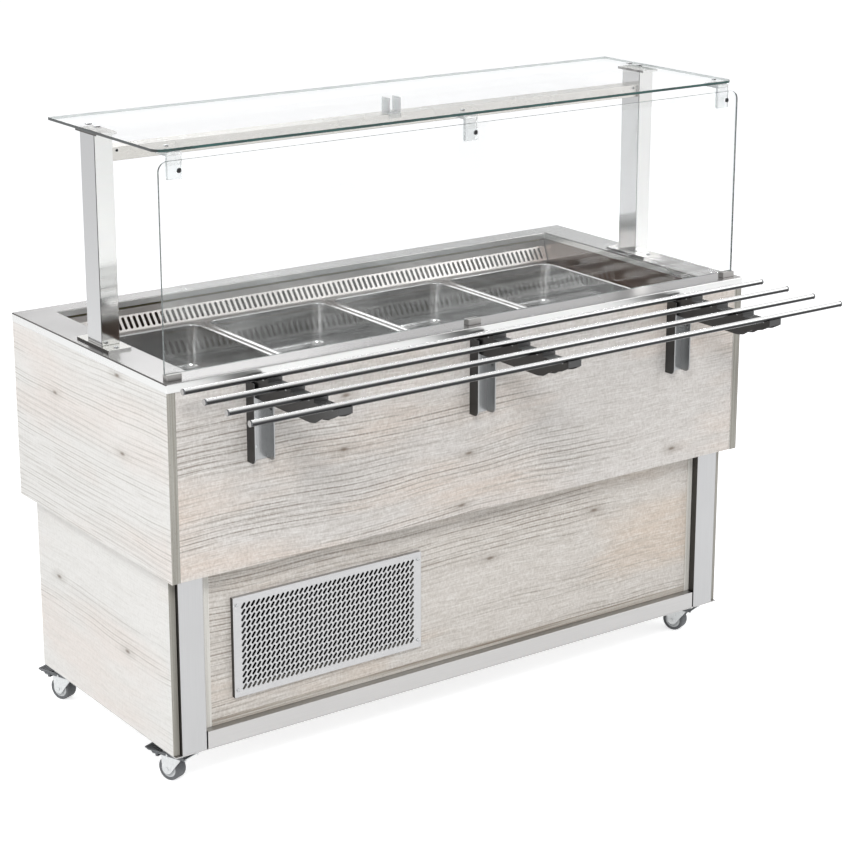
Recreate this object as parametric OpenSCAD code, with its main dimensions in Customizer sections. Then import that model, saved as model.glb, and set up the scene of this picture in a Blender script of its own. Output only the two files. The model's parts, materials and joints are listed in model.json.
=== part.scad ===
// Mobile refrigerated salad bar: a wood-clad cabinet on four castors, a steel well with six lift-out
// pans, a glass shelf with a hanging glass screen, and a fold-down tray slide of four tubes.

/* [Cabinet] */
// Width of the worktop beside the well, at each end
end_margin = 80; // [76:1:110]
// Depth of the worktop in front of the well
front_margin = 64; // [62:1:90]
// Depth of the worktop behind the well
back_margin = 50; // [48:1:90]
// Height of the worktop above the floor
worktop_z = 865; // [835:5:900]
// Height of the worktop's turned-down edge
worktop_band = 18; // [14:1:26]
// Height of the upper cabinet's underside
upper_bottom_z = 463; // [440:1:490]
// How far the lower body stands in from the worktop's ends
side_inset = 14; // [12:1:24]
// How far the steel front posts stand in from the cabinet's front
front_inset = 32; // [26:1:60]
// How far the lower back panel stands in from the cabinet's back
back_inset = 49; // [40:1:70]
// How far the lower front panel lies behind the steel posts
panel_recess = 17; // [12:1:24]
// Visible width of each steel front post
post_face_w = 56; // [44:1:64]
// Height of the steel bottom rail
rail_h = 37; // [30:1:45]

/* [Pans] */
// Depth of each pan
pan_depth = 100; // [65:5:150]
// How far the pan rims lie below the worktop
pan_drop = 67; // [60:1:80]

/* [Glass guard] */
// Height of the top of the glass shelf above the worktop
shelf_rise = 439; // [400:1:480]
// Depth of the glass shelf
shelf_d = 440; // [400:1:460]
// How far the glass shelf stops short of the worktop's ends
shelf_inset = 14; // [8:1:30]
// Thickness of the glass
glass_t = 6; // [5:0.5:8]
// Height of the gap below the hanging glass screen
screen_gap = 11; // [8:1:14]
// Width of each upright, along the cabinet
upright_w = 40; // [36:1:44]
// Depth of each upright
upright_d = 60; // [50:1:66]

/* [Tray slide] */
// Diameter of the tray slide's tubes
tube_d = 12; // [11:1:16]
// Distance from one tube to the next
tube_pitch = 80; // [76:1:84]
// Distance of the rear tube from the cabinet's front
tube_offset = 62; // [60:1:70]
// Distance of the outer brackets from the cabinet's middle
bracket_x = 536; // [480:1:580]

/* [Castors] */
// Wheel diameter
wheel_d = 51; // [48:1:52]
// How far the wheel trails behind its swivel
castor_trail = 25; // [22:1:26]

/* [Hidden] */

// Smoothness of round parts, and of small ones
$fn = 64;
small_fn = 32;
// Space left between pieces that are assembled face to face
gap = 0.3;
// Radial clearance of a shaft in its bore
running = 0.05;
// Overshoot of every cut past the face it opens
cut = 1;

// Standard food pan footprint, the rim's width and the space between two rims
pan_l = 530;
pan_w = 325;
pan_wall = 1.5;
pan_rim = 13;
pan_space = 2;
pan_corner = 24;
columns = 4;
two_third_l = 354;
third_l = pan_l - two_third_l;

// Sheet and board thicknesses
sheet = 2;
upper_board = 20;
inner_board = 18;
lower_board = 15;

// The well
well_end_gap = 4;
grille_room = 16;
well_w = columns * pan_w + 2 * well_end_gap;
well_d = pan_l + grille_room;
cabinet_w = well_w + 2 * end_margin;
cabinet_d = front_margin + well_d + back_margin;
half_w = cabinet_w / 2;
front_y = -cabinet_d / 2;
back_y = cabinet_d / 2;
well_front_y = front_y + front_margin;
well_back_y = well_front_y + well_d;
rim_z = worktop_z - pan_drop;
pan_back_y = well_back_y - grille_room;
split_y = pan_back_y - two_third_l;
rim_t = 2;
support_z = rim_z - rim_t;
support_t = 2;
lip_h = 14;
groove_h = 4;
well_floor_z = rim_z - pan_depth - 78;

// The lower body
chassis_z = 84;
base_t = 2;
board_top = worktop_z - worktop_band;
lower_half_w = half_w - side_inset;
post_front_y = front_y + front_inset;
side_front_y = post_front_y + 9;
lower_back_y = back_y - back_inset;
post_out_x = lower_half_w - lower_board - 1;
post_in_x = post_out_x - post_face_w;
post_depth = 40;
panel_front_y = post_front_y + panel_recess;
trim_t = 2;
panel_y = panel_front_y + trim_t;
panel_t = 16;
rail_top_z = chassis_z + rail_h;
trim_left_w = 22;
trim_right_w = 14;
trim_bottom_h = 13;

// The air intake plate
intake_w = 458;
intake_h = 214;
intake_x = -half_w + 158 + intake_w / 2;
intake_z = rail_top_z + 51 + intake_h / 2;
intake_proud = 10;
slot_cols = 37;
slot_rows = 14;
slot_pitch_x = 11.4;
slot_pitch_z = 13.4;
slot_l = 13.5;
slot_w = 5;
slot_lean = 38;
intake_lap = 10;

// The glass guard
upright_x = half_w - 42;
upright_y = -5;
foot_t = 5;
foot_w = 52;
foot_d = 136;
cap_w = 46;
cap_d = 90;
shelf_w = cabinet_w - 2 * shelf_inset;
shelf_top_z = worktop_z + shelf_rise;
shelf_z = shelf_top_z - glass_t;
upright_top_z = shelf_z - foot_t;
shelf_front_y = front_y + 35;
screen_w = shelf_w + 4;
screen_y = shelf_front_y - 6 - glass_t;
screen_bottom_z = worktop_z + screen_gap;
screen_top_z = shelf_z - 15;
beam_h = 27;
beam_d = 44;
beam_z = shelf_z - 62;
clamp_w = 32;
clamp_x = shelf_w / 2 - 36;
clip_w = 32;
clip_h = 12;

// The tray slide
tube_z = worktop_z + 1;
tube_wall = 1;
tube_rise = 5;
tube_half = half_w - 3;
tubes = 4;
arm_w = 32;
arm_wall = 3;
arm_top_z = tube_z - tube_d / 2 - tube_rise;
arm_h = 42;
arm_bottom_z = arm_top_z - arm_h;
pivot_y = front_y - 15;
pivot_z = arm_bottom_z + 10;
pivot_r = 5;
arm_end_y = front_y - tube_offset - (tubes - 1) * tube_pitch - 9;
bracket_w = 46;
bracket_flange = 2.5;
bracket_depth = 28;
bracket_bottom_z = 680;

// The castors
wheel_r = wheel_d / 2;
tyre_t = 6;
wheel_w = 27;
hub_w = 28;
fork_in = 15;
fork_t = 2.5;
axle_r = 4;
castor_x = half_w - 59;
castor_y = cabinet_d / 2 - 89;
castor_plate_z = chassis_z - base_t - 2.5;
castor_turn = 201;
castor_places = [
    [-castor_x, -castor_y], [castor_x, -castor_y], [-castor_x, castor_y], [castor_x, castor_y]
];
pedal_pivot = [-20, 60];
pedal_pin_r = 2;

// The cooling unit and the drain
foam_t = 60;
drain_r = 14;
drain_place = [0, lower_back_y - 101];
pipe_place = [-half_w + 434, lower_back_y - 191];
pot_r = 62;
compressor_place = [intake_x + intake_w / 2 + 98, lower_back_y - 191];
coil_w = 380;
coil_h = 194;
coil_d = 48;
coil_y = panel_y + panel_t + 8;
fan_r = 84;
fan_y = coil_y + 115;
shaft_r = 4;
refrigerant_r = 5;
evaporator_inset = 83;
inlet_place = [half_w - 254, 150];
inlet_r = 16.5;

// The rear controls, and how far the whole object reaches to the front and to the back
control_x = -half_w + 304;
control_z = worktop_z - 165;
control_w = 190;
control_h = 90;
control_room = 22;
switch_x = -50;
switch_y = back_y + 3;
switch_pin_r = 1.2;
knob_x = 45;
knob_reach = 20;
front_reach = -arm_end_y;
back_reach = back_y + knob_reach;
// Moves the cabinet so that the origin lies under the middle of the whole object
shift_y = (front_reach - back_reach) / 2;

wood = "#ddd6cc";
wood_edge = "#c4c1b8";
steel = "#c9cbcc";
dark_steel = "#77797a";
clear_glass = [0.75, 0.86, 0.84, 0.35];
clear_plastic = [0.9, 0.93, 0.94, 0.5];
foam = "#d8cfa8";
copper = "#b06c44";
grey_rubber = "#6b6e70";

// Places a piece in the shifted cabinet
module placed() {
    translate([0, shift_y, 0]) children();
}

// A block between two corners
module block(low, high) {
    translate(low) cube(high - low);
}

// A flat outline with round corners, centred
module rounded(w, l, r) {
    square([w - 2 * r, l], center = true);
    square([w, l - 2 * r], center = true);
    for (x = [-1, 1])
        for (y = [-1, 1])
            translate([x * (w / 2 - r), y * (l / 2 - r)]) circle(r);
}

// The cutter of an upright hole through a sheet or board whose underside is at z
module down_hole(place, r, z, thickness) {
    translate([place[0], place[1], z - cut]) cylinder(r = r, h = thickness + 2 * cut);
}

// A cylinder that starts at a point and runs along X
module rod_x(start, length, r) {
    translate(start) rotate([0, 90, 0]) cylinder(r = r, h = length);
}

// A cylinder that starts at a point and runs along Y
module rod_y(start, length, r) {
    translate(start) rotate([-90, 0, 0]) cylinder(r = r, h = length);
}

// An outline drawn in Y and Z, pushed out along X from x0
module side_profile(x0, thickness, points) {
    translate([x0, 0, 0]) rotate([90, 0, 90]) linear_extrude(thickness) polygon(points);
}

// The four corners of one leaning slot, centred on a place
function slot_points(centre, length, width, lean) = [
    for (p = [[1, 1], [1, -1], [-1, -1], [-1, 1]] / 2)
        [centre[0] + p[0] * width * cos(lean) + p[1] * length * sin(lean),
         centre[1] - p[0] * width * sin(lean) + p[1] * length * cos(lean)]
];

// A plate, centred, pierced by a slot at each centre
module slotted_plate(w, h, thickness, centres, length, width, lean) {
    outline = [[-w / 2, -h / 2], [w / 2, -h / 2], [w / 2, h / 2], [-w / 2, h / 2]];
    holes = [for (c = centres) each slot_points(c, length, width, lean)];
    paths = concat(
        [[0, 1, 2, 3]],
        [for (i = [0 : len(centres) - 1]) [for (k = [0 : 3]) 4 + 4 * i + k]]
    );
    linear_extrude(thickness) polygon(concat(outline, holes), paths);
}

// ---- Chassis ----

module base_plate() {
    half_plate = lower_half_w - 1;
    color(steel) placed() difference() {
        block([-half_plate, post_front_y + 1, chassis_z - base_t],
              [half_plate, lower_back_y - 1, chassis_z]);
        down_hole(drain_place, drain_r + 2, chassis_z - base_t, base_t);
    }
}

module bottom_rail() {
    half_rail = post_in_x - 3;
    color(steel) placed() difference() {
        block([-half_rail, post_front_y, chassis_z + gap], [half_rail, post_front_y + 30, rail_top_z]);
        block([-half_rail - cut, post_front_y + sheet, chassis_z + gap + sheet],
              [half_rail + cut, post_front_y + 30 - sheet, rail_top_z - sheet]);
    }
}

// One upright of folded steel, as a square tube
module hollow_post(low, high) {
    difference() {
        block(low, high);
        block(low + [sheet, sheet, -cut], high + [-sheet, -sheet, cut]);
    }
}

module body_posts() {
    rear_y = lower_back_y - panel_t - gap;
    low_z = chassis_z + gap;
    top_z = upper_bottom_z - gap;
    color(steel) placed() for (side = [0, 1]) mirror([side, 0, 0]) {
        hollow_post([post_in_x, post_front_y, low_z], [post_out_x, post_front_y + post_depth, top_z]);
        hollow_post([post_out_x - post_depth, rear_y - post_depth, low_z], [post_out_x, rear_y, top_z]);
    }
}

module lower_sides() {
    color(wood) placed() for (side = [0, 1]) mirror([side, 0, 0])
        block([lower_half_w - lower_board, side_front_y, chassis_z + gap],
              [lower_half_w, lower_back_y, upper_bottom_z - gap]);
}

module lower_front_panel() {
    half_panel = post_in_x - gap;
    color(wood) placed() difference() {
        block([-half_panel, panel_y, rail_top_z + gap],
              [half_panel, panel_y + panel_t, upper_bottom_z - gap]);
        block([intake_x - intake_w / 2 + intake_lap, panel_y - cut, intake_z - intake_h / 2 + intake_lap],
              [intake_x + intake_w / 2 - intake_lap, panel_y + panel_t + cut,
               intake_z + intake_h / 2 - intake_lap]);
    }
}

module front_panel_trims() {
    half_panel = post_in_x - gap;
    low_z = rail_top_z + gap;
    top_z = upper_bottom_z - gap;
    color(wood_edge) placed() {
        block([-half_panel, panel_front_y, low_z], [-half_panel + trim_left_w, panel_y - 0.1, top_z]);
        block([half_panel - trim_right_w, panel_front_y, low_z], [half_panel, panel_y - 0.1, top_z]);
        block([-half_panel + trim_left_w + gap, panel_front_y, low_z],
              [half_panel - trim_right_w - gap, panel_y - 0.1, low_z + trim_bottom_h]);
    }
}

module lower_back_panel() {
    half_panel = lower_half_w - lower_board - gap;
    vents = 14;
    vent_pitch = 28;
    color(wood) placed() difference() {
        block([-half_panel, lower_back_y - panel_t, chassis_z + gap],
              [half_panel, lower_back_y, upper_bottom_z - gap]);
        for (i = [0 : vents - 1])
            translate([intake_x + (i - vents / 2) * vent_pitch, lower_back_y - panel_t - cut, intake_z - 89])
                cube([12, panel_t + 2 * cut, 160]);
        rod_y([inlet_place[0], lower_back_y - panel_t - cut, inlet_place[1]],
              panel_t + 2 * cut, inlet_r + 0.5);
    }
}

module intake_grille() {
    half_i = intake_w / 2;
    half_k = intake_h / 2;
    plate_t = 0.9;
    color(steel) placed() translate([intake_x, panel_y - intake_proud, intake_z]) difference() {
        block([-half_i, 0, -half_k], [half_i, intake_proud - gap, half_k]);
        block([-half_i + plate_t, plate_t, -half_k + plate_t],
              [half_i - plate_t, intake_proud, half_k - plate_t]);
        for (i = [0 : slot_cols - 1])
            for (k = [0 : slot_rows - 1])
                translate([(i - (slot_cols - 1) / 2) * slot_pitch_x, 0,
                           (k - (slot_rows - 1) / 2) * slot_pitch_z])
                    rotate([0, slot_lean, 0]) cube([slot_w, 6 * plate_t, slot_l], center = true);
    }
}

// ---- Upper cabinet ----

module upper_sides() {
    color(wood) placed() for (side = [0, 1]) mirror([side, 0, 0])
        block([half_w - upper_board, front_y, upper_bottom_z], [half_w - 1, back_y - 1, board_top - gap]);
}

module upper_front_panel() {
    half_panel = half_w - upper_board - gap;
    color(wood) placed()
        block([-half_panel, front_y + 1.5, upper_bottom_z],
              [half_panel, front_y + inner_board, board_top - gap]);
}

module upper_back_panel() {
    half_panel = half_w - upper_board - gap;
    color(wood) placed() difference() {
        block([-half_panel, back_y - inner_board, upper_bottom_z],
              [half_panel, back_y - 1.5, board_top - gap]);
        block([control_x - control_w / 2 + 12, back_y - inner_board - cut, control_z - control_h / 2 + 12],
              [control_x + control_w / 2 - 12, back_y + cut, control_z + control_h / 2 - 12]);
    }
}

module upper_floor() {
    half_board = half_w - upper_board - gap;
    color(wood) placed() difference() {
        block([-half_board, front_y + inner_board + gap, upper_bottom_z],
              [half_board, back_y - inner_board - gap, upper_bottom_z + inner_board]);
        down_hole(pipe_place, 25, upper_bottom_z, inner_board);
        down_hole(drain_place, drain_r + 6, upper_bottom_z, inner_board);
    }
}

module worktop() {
    color(steel) placed() {
        difference() {
            block([-half_w, front_y - 1, board_top], [half_w, back_y, worktop_z]);
            block([-half_w + sheet, front_y - 1 + sheet, board_top - cut],
                  [half_w - sheet, back_y - sheet, worktop_z - sheet]);
            block([-well_w / 2, well_front_y, worktop_z - sheet - cut],
                  [well_w / 2, well_back_y, worktop_z + cut]);
        }
        difference() {
            block([-well_w / 2 - sheet, well_front_y - sheet, worktop_z - lip_h],
                  [well_w / 2 + sheet, well_back_y + sheet, worktop_z - sheet + 0.5]);
            block([-well_w / 2, well_front_y, worktop_z - lip_h - cut],
                  [well_w / 2, well_back_y, worktop_z + cut]);
        }
    }
}

module well_liner() {
    top_z = worktop_z - lip_h - gap;
    groove_half = well_w / 2 - lip_h;
    color(steel) placed() difference() {
        block([-well_w / 2 - sheet, well_front_y - sheet, well_floor_z - sheet],
              [well_w / 2 + sheet, well_back_y + sheet, top_z]);
        block([-well_w / 2, well_front_y, well_floor_z], [well_w / 2, well_back_y, top_z + cut]);
        block([-groove_half, well_back_y - cut, top_z - groove_h],
              [groove_half, well_back_y + sheet + cut, top_z + cut]);
        down_hole(drain_place, drain_r + running, well_floor_z - sheet, sheet);
        down_hole(pipe_place, 22, well_floor_z - sheet, sheet);
    }
}

// Five foam boards around the well: floor, two ends, front and back
module insulation() {
    out_x = half_w - upper_board - 1;
    in_x = well_w / 2 + sheet + gap;
    out_front = front_y + inner_board + gap;
    out_back = back_y - inner_board - gap;
    in_front = well_front_y - sheet - gap;
    in_back = well_back_y + sheet + gap;
    floor_z = well_floor_z - sheet - gap;
    low_z = well_floor_z - foam_t;
    top_z = worktop_z - 20;
    color(foam) placed() {
        difference() {
            block([-out_x, out_front, low_z], [out_x, out_back, floor_z]);
            down_hole(drain_place, drain_r + 6, low_z, foam_t);
            down_hole(pipe_place, 25, low_z, foam_t);
        }
        for (side = [0, 1]) mirror([side, 0, 0])
            block([in_x, out_front, floor_z + gap], [out_x, out_back, top_z]);
        block([gap - in_x, out_front, floor_z + gap], [in_x - gap, in_front, top_z]);
        difference() {
            block([gap - in_x, in_back, floor_z + gap], [in_x - gap, out_back, top_z]);
            block([control_x - control_w / 2, out_back - control_room, control_z - control_h / 2],
                  [control_x + control_w / 2, out_back + cut, control_z + control_h / 2]);
        }
    }
}

// The folded, slotted sheet along the back of the well, whose foot carries the pans' rear rims
module well_air_grille() {
    half_sheet = well_w / 2 - 3;
    thick = 1.5;
    top_z = worktop_z - 18;
    fold_z = worktop_z - 32;
    wall_y = well_back_y - 0.5;
    foot_y = pan_back_y + 1.5;
    rise_z = rim_z + 3;
    run = wall_y - foot_y;
    rise = fold_z - rise_z;
    slots = 95;
    pitch = 13.5;
    slot_r = 3.6;
    slot_half = 10.5;
    lean = 10;
    color(steel) placed() difference() {
        side_profile(-half_sheet, 2 * half_sheet, [
            [pan_back_y - 10.5, support_z], [foot_y - thick, support_z], [foot_y - thick, rise_z],
            [wall_y - thick, fold_z], [wall_y - thick, top_z], [wall_y, top_z], [wall_y, fold_z],
            [foot_y, rise_z], [foot_y, support_z - support_t], [pan_back_y - 10.5, support_z - support_t]
        ]);
        for (i = [0 : slots - 1])
            translate([(i - (slots - 1) / 2) * pitch, foot_y + (run - thick) / 2, rise_z + rise / 2])
                rotate([atan2(rise, run), 0, 0]) rotate([0, 0, lean]) translate([0, 0, -3])
                    linear_extrude(height = 6) {
                        square([2 * slot_r, 2 * slot_half], center = true);
                        for (end = [-1, 1]) translate([0, end * slot_half]) circle(r = slot_r);
                    }
    }
}

// Flat bars under the pan rims: one along the front, one at each end, three across and two short ones
module pan_supports() {
    low = support_z - support_t;
    back = pan_back_y - 11;
    front = well_front_y + 11;
    bar = 20;
    end_bar = 15;
    half_run = well_w / 2 - gap;
    color(steel) placed() {
        block([-half_run, well_front_y + gap, low - 16],
              [half_run, well_front_y + gap + support_t, support_z]);
        block([-half_run, well_front_y + gap, low], [half_run, front, support_z]);
        for (side = [0, 1]) mirror([side, 0, 0]) {
            block([well_w / 2 - end_bar, front + gap, low], [half_run, back, support_z]);
            block([bar / 2 + gap, split_y - bar / 2, low],
                  [pan_w - bar / 2 - gap, split_y + bar / 2, support_z]);
        }
        for (i = [-1, 0, 1])
            block([i * pan_w - bar / 2, front + gap, low], [i * pan_w + bar / 2, back, support_z]);
    }
}

// ---- Pans ----

// One lift-out pan, standing at the place of its rim's centre
module pan(column, back_edge, length) {
    out_w = pan_w - pan_space;
    out_l = length - pan_space;
    in_w = out_w - 2 * pan_rim;
    in_l = out_l - 2 * pan_rim;
    color(steel) placed() translate([(column - 2.5) * pan_w, back_edge - length / 2, rim_z - pan_depth]) {
        linear_extrude(pan_wall) rounded(in_w + pan_wall, in_l + pan_wall, pan_corner);
        linear_extrude(pan_depth) difference() {
            rounded(in_w + 2 * pan_wall, in_l + 2 * pan_wall, pan_corner + pan_wall);
            rounded(in_w, in_l, pan_corner);
        }
        translate([0, 0, pan_depth - rim_t]) linear_extrude(rim_t) difference() {
            rounded(out_w, out_l, 12);
            rounded(in_w, in_l, pan_corner);
        }
    }
}

module pan_full_left() { pan(1, pan_back_y, pan_l); }
module pan_two_third_left() { pan(2, pan_back_y, two_third_l); }
module pan_third_left() { pan(2, split_y, third_l); }
module pan_two_third_right() { pan(3, pan_back_y, two_third_l); }
module pan_third_right() { pan(3, split_y, third_l); }
module pan_full_right() { pan(4, pan_back_y, pan_l); }

// ---- Glass guard ----

module uprights() {
    color(steel) placed() for (side = [0, 1]) mirror([side, 0, 0])
        hollow_post([upright_x - upright_w / 2, upright_y - upright_d / 2, worktop_z + foot_t],
                    [upright_x + upright_w / 2, upright_y + upright_d / 2, upright_top_z]);
}

module upright_plates() {
    color(steel) placed() for (side = [0, 1]) mirror([side, 0, 0]) translate([upright_x, upright_y, 0]) {
        difference() {
            translate([0, 0, worktop_z]) linear_extrude(foot_t) rounded(foot_w, foot_d, 3);
            for (y = [-1, 1])
                down_hole([0, y * (foot_d / 2 - 16)], 3.3, worktop_z, foot_t);
        }
        translate([0, 0, upright_top_z]) linear_extrude(foot_t) rounded(cap_w, cap_d, 3);
    }
}

module light_beam() {
    half_beam = upright_x - upright_w / 2 - gap;
    color(steel) placed() difference() {
        block([-half_beam, upright_y - beam_d / 2, beam_z],
              [half_beam, upright_y + beam_d / 2, beam_z + beam_h]);
        block([-half_beam + 4, upright_y - beam_d / 2 + 4, beam_z - cut],
              [half_beam - 4, upright_y + beam_d / 2 - 4, beam_z + beam_h - sheet]);
    }
}

module led_lamp() {
    half_lamp = upright_x - upright_w / 2 - 10;
    color("#f4f6f2") placed()
        block([-half_lamp, upright_y - 14, beam_z + 3],
              [half_lamp, upright_y + 14, beam_z + beam_h - sheet - gap]);
}

module glass_shelf() {
    r = 22;
    color(clear_glass) placed() translate([0, shelf_front_y, shelf_z]) linear_extrude(glass_t) {
        translate([-shelf_w / 2, r]) square([shelf_w, shelf_d - r]);
        translate([-shelf_w / 2 + r, 0]) square([shelf_w - 2 * r, r + cut]);
        for (x = [-1, 1])
            translate([x * (shelf_w / 2 - r), r]) circle(r);
    }
}

module glass_screen() {
    r = 20;
    h = screen_top_z - screen_bottom_z;
    color(clear_glass) placed() translate([0, screen_y + glass_t, screen_bottom_z]) rotate([90, 0, 0])
        linear_extrude(glass_t) {
            translate([-screen_w / 2, 0]) square([screen_w, h - r]);
            translate([-screen_w / 2 + r, h - r - cut]) square([screen_w - 2 * r, r + cut]);
            for (x = [-1, 1])
                translate([x * (screen_w / 2 - r), h - r]) circle(r);
        }
}

// Clear angle blocks under the shelf's front edge, and a clear saddle from the beam to its middle
module glass_clamps() {
    leg = 8;
    y0 = screen_y + glass_t + gap;
    half_saddle = 15;
    wall = 3;
    beam_y = upright_y - beam_d / 2;
    beam_top_z = beam_z + beam_h;
    color(clear_plastic) placed() {
        for (x = [-clamp_x, 0, clamp_x]) translate([x - clamp_w / 2, 0, 0]) {
            block([0, y0, shelf_z - 52], [clamp_w, y0 + leg, shelf_z - gap]);
            block([0, y0 + leg - 0.5, shelf_z - leg], [clamp_w, y0 + 46, shelf_z - gap]);
        }
        difference() {
            block([-half_saddle, beam_y - wall - gap, beam_top_z - leg],
                  [half_saddle, beam_y + 27, shelf_z - gap]);
            block([-half_saddle + wall, beam_y - wall - cut, beam_top_z + wall],
                  [half_saddle - wall, beam_y + 27 + cut, shelf_z + cut]);
            block([-half_saddle - cut, beam_y - gap, beam_z],
                  [half_saddle + cut, beam_y + 28, beam_top_z + gap]);
        }
    }
}

// Small channels on the worktop that hold the foot of the screen
module glass_clips() {
    y0 = screen_y - 8;
    y1 = screen_y + glass_t + 3;
    end_x = screen_w / 2 - clip_w / 2;
    color(dark_steel) placed() for (x = [-end_x, 0, end_x]) difference() {
        block([x - clip_w / 2, y0, worktop_z + 0.1], [x + clip_w / 2, y1, worktop_z + clip_h]);
        block([x - clip_w / 2 - cut, screen_y - gap, screen_bottom_z - gap],
              [x + clip_w / 2 + cut, screen_y + glass_t + gap, worktop_z + clip_h + cut]);
    }
}

// A low round screw head, facing up
module head_up(place, r) {
    translate(place) cylinder(r = r, h = 2.4, $fn = small_fn);
}

// A low round screw head, facing the front
module head_front(place, r) {
    translate(place) rotate([90, 0, 0]) cylinder(r = r, h = 2.4, $fn = small_fn);
}

module fixing_screws() {
    color(steel) placed() {
        for (side = [-1, 1]) {
            for (y = [-1, 1]) {
                head_up([side * upright_x, upright_y + y * (foot_d / 2 - 16), worktop_z + foot_t + 0.1], 5);
                head_up([side * upright_x, upright_y + 12 + y * 18, shelf_top_z + 0.1], 7);
            }
            head_front([side * (upright_x - upright_w / 2 - 12), upright_y - beam_d / 2 - 0.1,
                        beam_z + beam_h - 6], 3);
        }
        for (x = [-clamp_x, 0, clamp_x]) {
            head_up([x, screen_y + glass_t + 32, shelf_top_z + 0.1], 5);
            head_front([x + 4, screen_y - 0.1, shelf_z - 34], 5);
        }
        for (x = [-1, 1])
            for (z = [-1, 1])
                head_front([intake_x + x * (intake_w / 2 - 8), panel_y - intake_proud - 0.1,
                            intake_z + z * (intake_h / 2 - 16)], 3);
        for (x = [-bracket_x, 0, bracket_x])
            for (z = [bracket_bottom_z + 28, bracket_bottom_z + 84])
                head_front([x - 6, front_y - sheet + 1.1, z], 4);
    }
}

// ---- Tray slide ----

// Wall channels with round lower corners; each carries the pivot pin of one arm
module tray_brackets() {
    top_z = worktop_z - worktop_band - 4;
    bottom = bracket_bottom_z;
    wall_y = front_y + 1.5 - gap;
    out_y = front_y - bracket_depth;
    r = 12;
    flange = [
        [wall_y, top_z], [out_y, top_z], [out_y, bottom + r],
        each [for (a = [15 : 15 : 75]) [out_y + r - r * cos(a), bottom + r - r * sin(a)]],
        [out_y + r, bottom], [wall_y, bottom]
    ];
    color(steel) placed() for (x = [-bracket_x, 0, bracket_x]) {
        block([x - bracket_w / 2, front_y - sheet + 1.2, bottom], [x + bracket_w / 2, wall_y, top_z]);
        side_profile(x - bracket_w / 2, bracket_flange, flange);
        side_profile(x + bracket_w / 2 - bracket_flange, bracket_flange, flange);
        rod_x([x - bracket_w / 2 - 1.5, pivot_y, pivot_z], bracket_w + 3, pivot_r);
        for (side = [-1, 1])
            rod_x([x + side * (bracket_w / 2 - 2.5) - 2, front_y - 16, bracket_bottom_z + 100], 4, 4.5);
    }
}

// The outline of an arm in Y and Z: a round heel at the pivot and a waved toe
arm_heel = [for (a = [0 : -15 : -90]) [pivot_y + 9 * cos(a), pivot_z + 10 * sin(a)]];
arm_toe = [
    [arm_end_y, arm_bottom_z + 37], [arm_end_y + 9, arm_bottom_z + 32],
    [arm_end_y + 21, arm_bottom_z + 26], [arm_end_y + 37, arm_bottom_z + 21.5],
    [arm_end_y + 52, arm_bottom_z + 18.5], [arm_end_y + 64, arm_bottom_z + 12],
    [arm_end_y + 78, arm_bottom_z + 3.5], [arm_end_y + 96, arm_bottom_z]
];
arm_outline = concat(
    arm_heel, [for (i = [len(arm_toe) - 1 : -1 : 0]) arm_toe[i]],
    [[arm_end_y, arm_top_z], [pivot_y + 9, arm_top_z]]
);

function tube_y(i) = front_y - tube_offset - i * tube_pitch;

module tray_arms() {
    cradle = 8;
    cradle_top_z = tube_z - 3;
    color(dark_steel) placed() for (x = [-bracket_x, 0, bracket_x]) difference() {
        union() {
            side_profile(x - arm_w / 2, arm_wall, arm_outline);
            side_profile(x + arm_w / 2 - arm_wall, arm_wall, arm_outline);
            block([x - arm_w / 2, arm_end_y, arm_top_z - arm_wall], [x + arm_w / 2, pivot_y + 9, arm_top_z]);
            for (i = [0 : tubes - 1])
                block([x - arm_w / 2, tube_y(i) - cradle, arm_top_z - 0.5],
                      [x + arm_w / 2, tube_y(i) + cradle, cradle_top_z]);
            block([x - arm_w / 2, arm_end_y, arm_top_z - 5],
                  [x + arm_w / 2, arm_end_y + arm_wall, cradle_top_z]);
        }
        for (i = [0 : tubes - 1])
            rod_x([x - arm_w / 2 - cut, tube_y(i), tube_z], arm_w + 2 * cut, tube_d / 2 + running);
        rod_x([x - arm_w / 2 - cut, pivot_y, pivot_z], arm_w + 2 * cut, pivot_r + running);
    }
}

// Four tubes with a round plug in each end
module tray_tubes() {
    plug = 4;
    color(steel) placed() for (i = [0 : tubes - 1]) {
        difference() {
            rod_x([-tube_half, tube_y(i), tube_z], 2 * tube_half, tube_d / 2);
            rod_x([-tube_half - cut, tube_y(i), tube_z], 2 * tube_half + 2 * cut, tube_d / 2 - tube_wall);
        }
        for (side = [0, 1]) mirror([side, 0, 0]) {
            rod_x([tube_half + 0.1, tube_y(i), tube_z], plug - 1.2, tube_d / 2 + 0.4);
            rod_x([tube_half - 14, tube_y(i), tube_z], 15, tube_d / 2 - tube_wall - running);
        }
    }
}

// ---- Castors ----

// Places a castor part at one of the four corners, with its wheel trailing to the back
module castor(corner) {
    placed() translate([castor_places[corner][0], castor_places[corner][1], 0]) rotate([0, 0, castor_turn])
        children();
}

module castor_plates() {
    color(dark_steel) for (corner = [0 : 3]) castor(corner) {
        rotate([0, 0, -castor_turn]) difference() {
            translate([0, 0, castor_plate_z]) linear_extrude(2.5 - gap) rounded(60, 60, 6);
            for (x = [-1, 1])
                for (y = [-1, 1])
                    translate([x * 23, y * 23, castor_plate_z - cut]) cylinder(r = 3.2, h = 5);
        }
        translate([0, 0, castor_plate_z - 2.2]) cylinder(r = 18, h = 2.5);
        translate([0, 0, 66]) cylinder(r = 5, h = castor_plate_z - 65);
        translate([0, 0, 64]) cylinder(r = 8, h = 3);
    }
}

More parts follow.
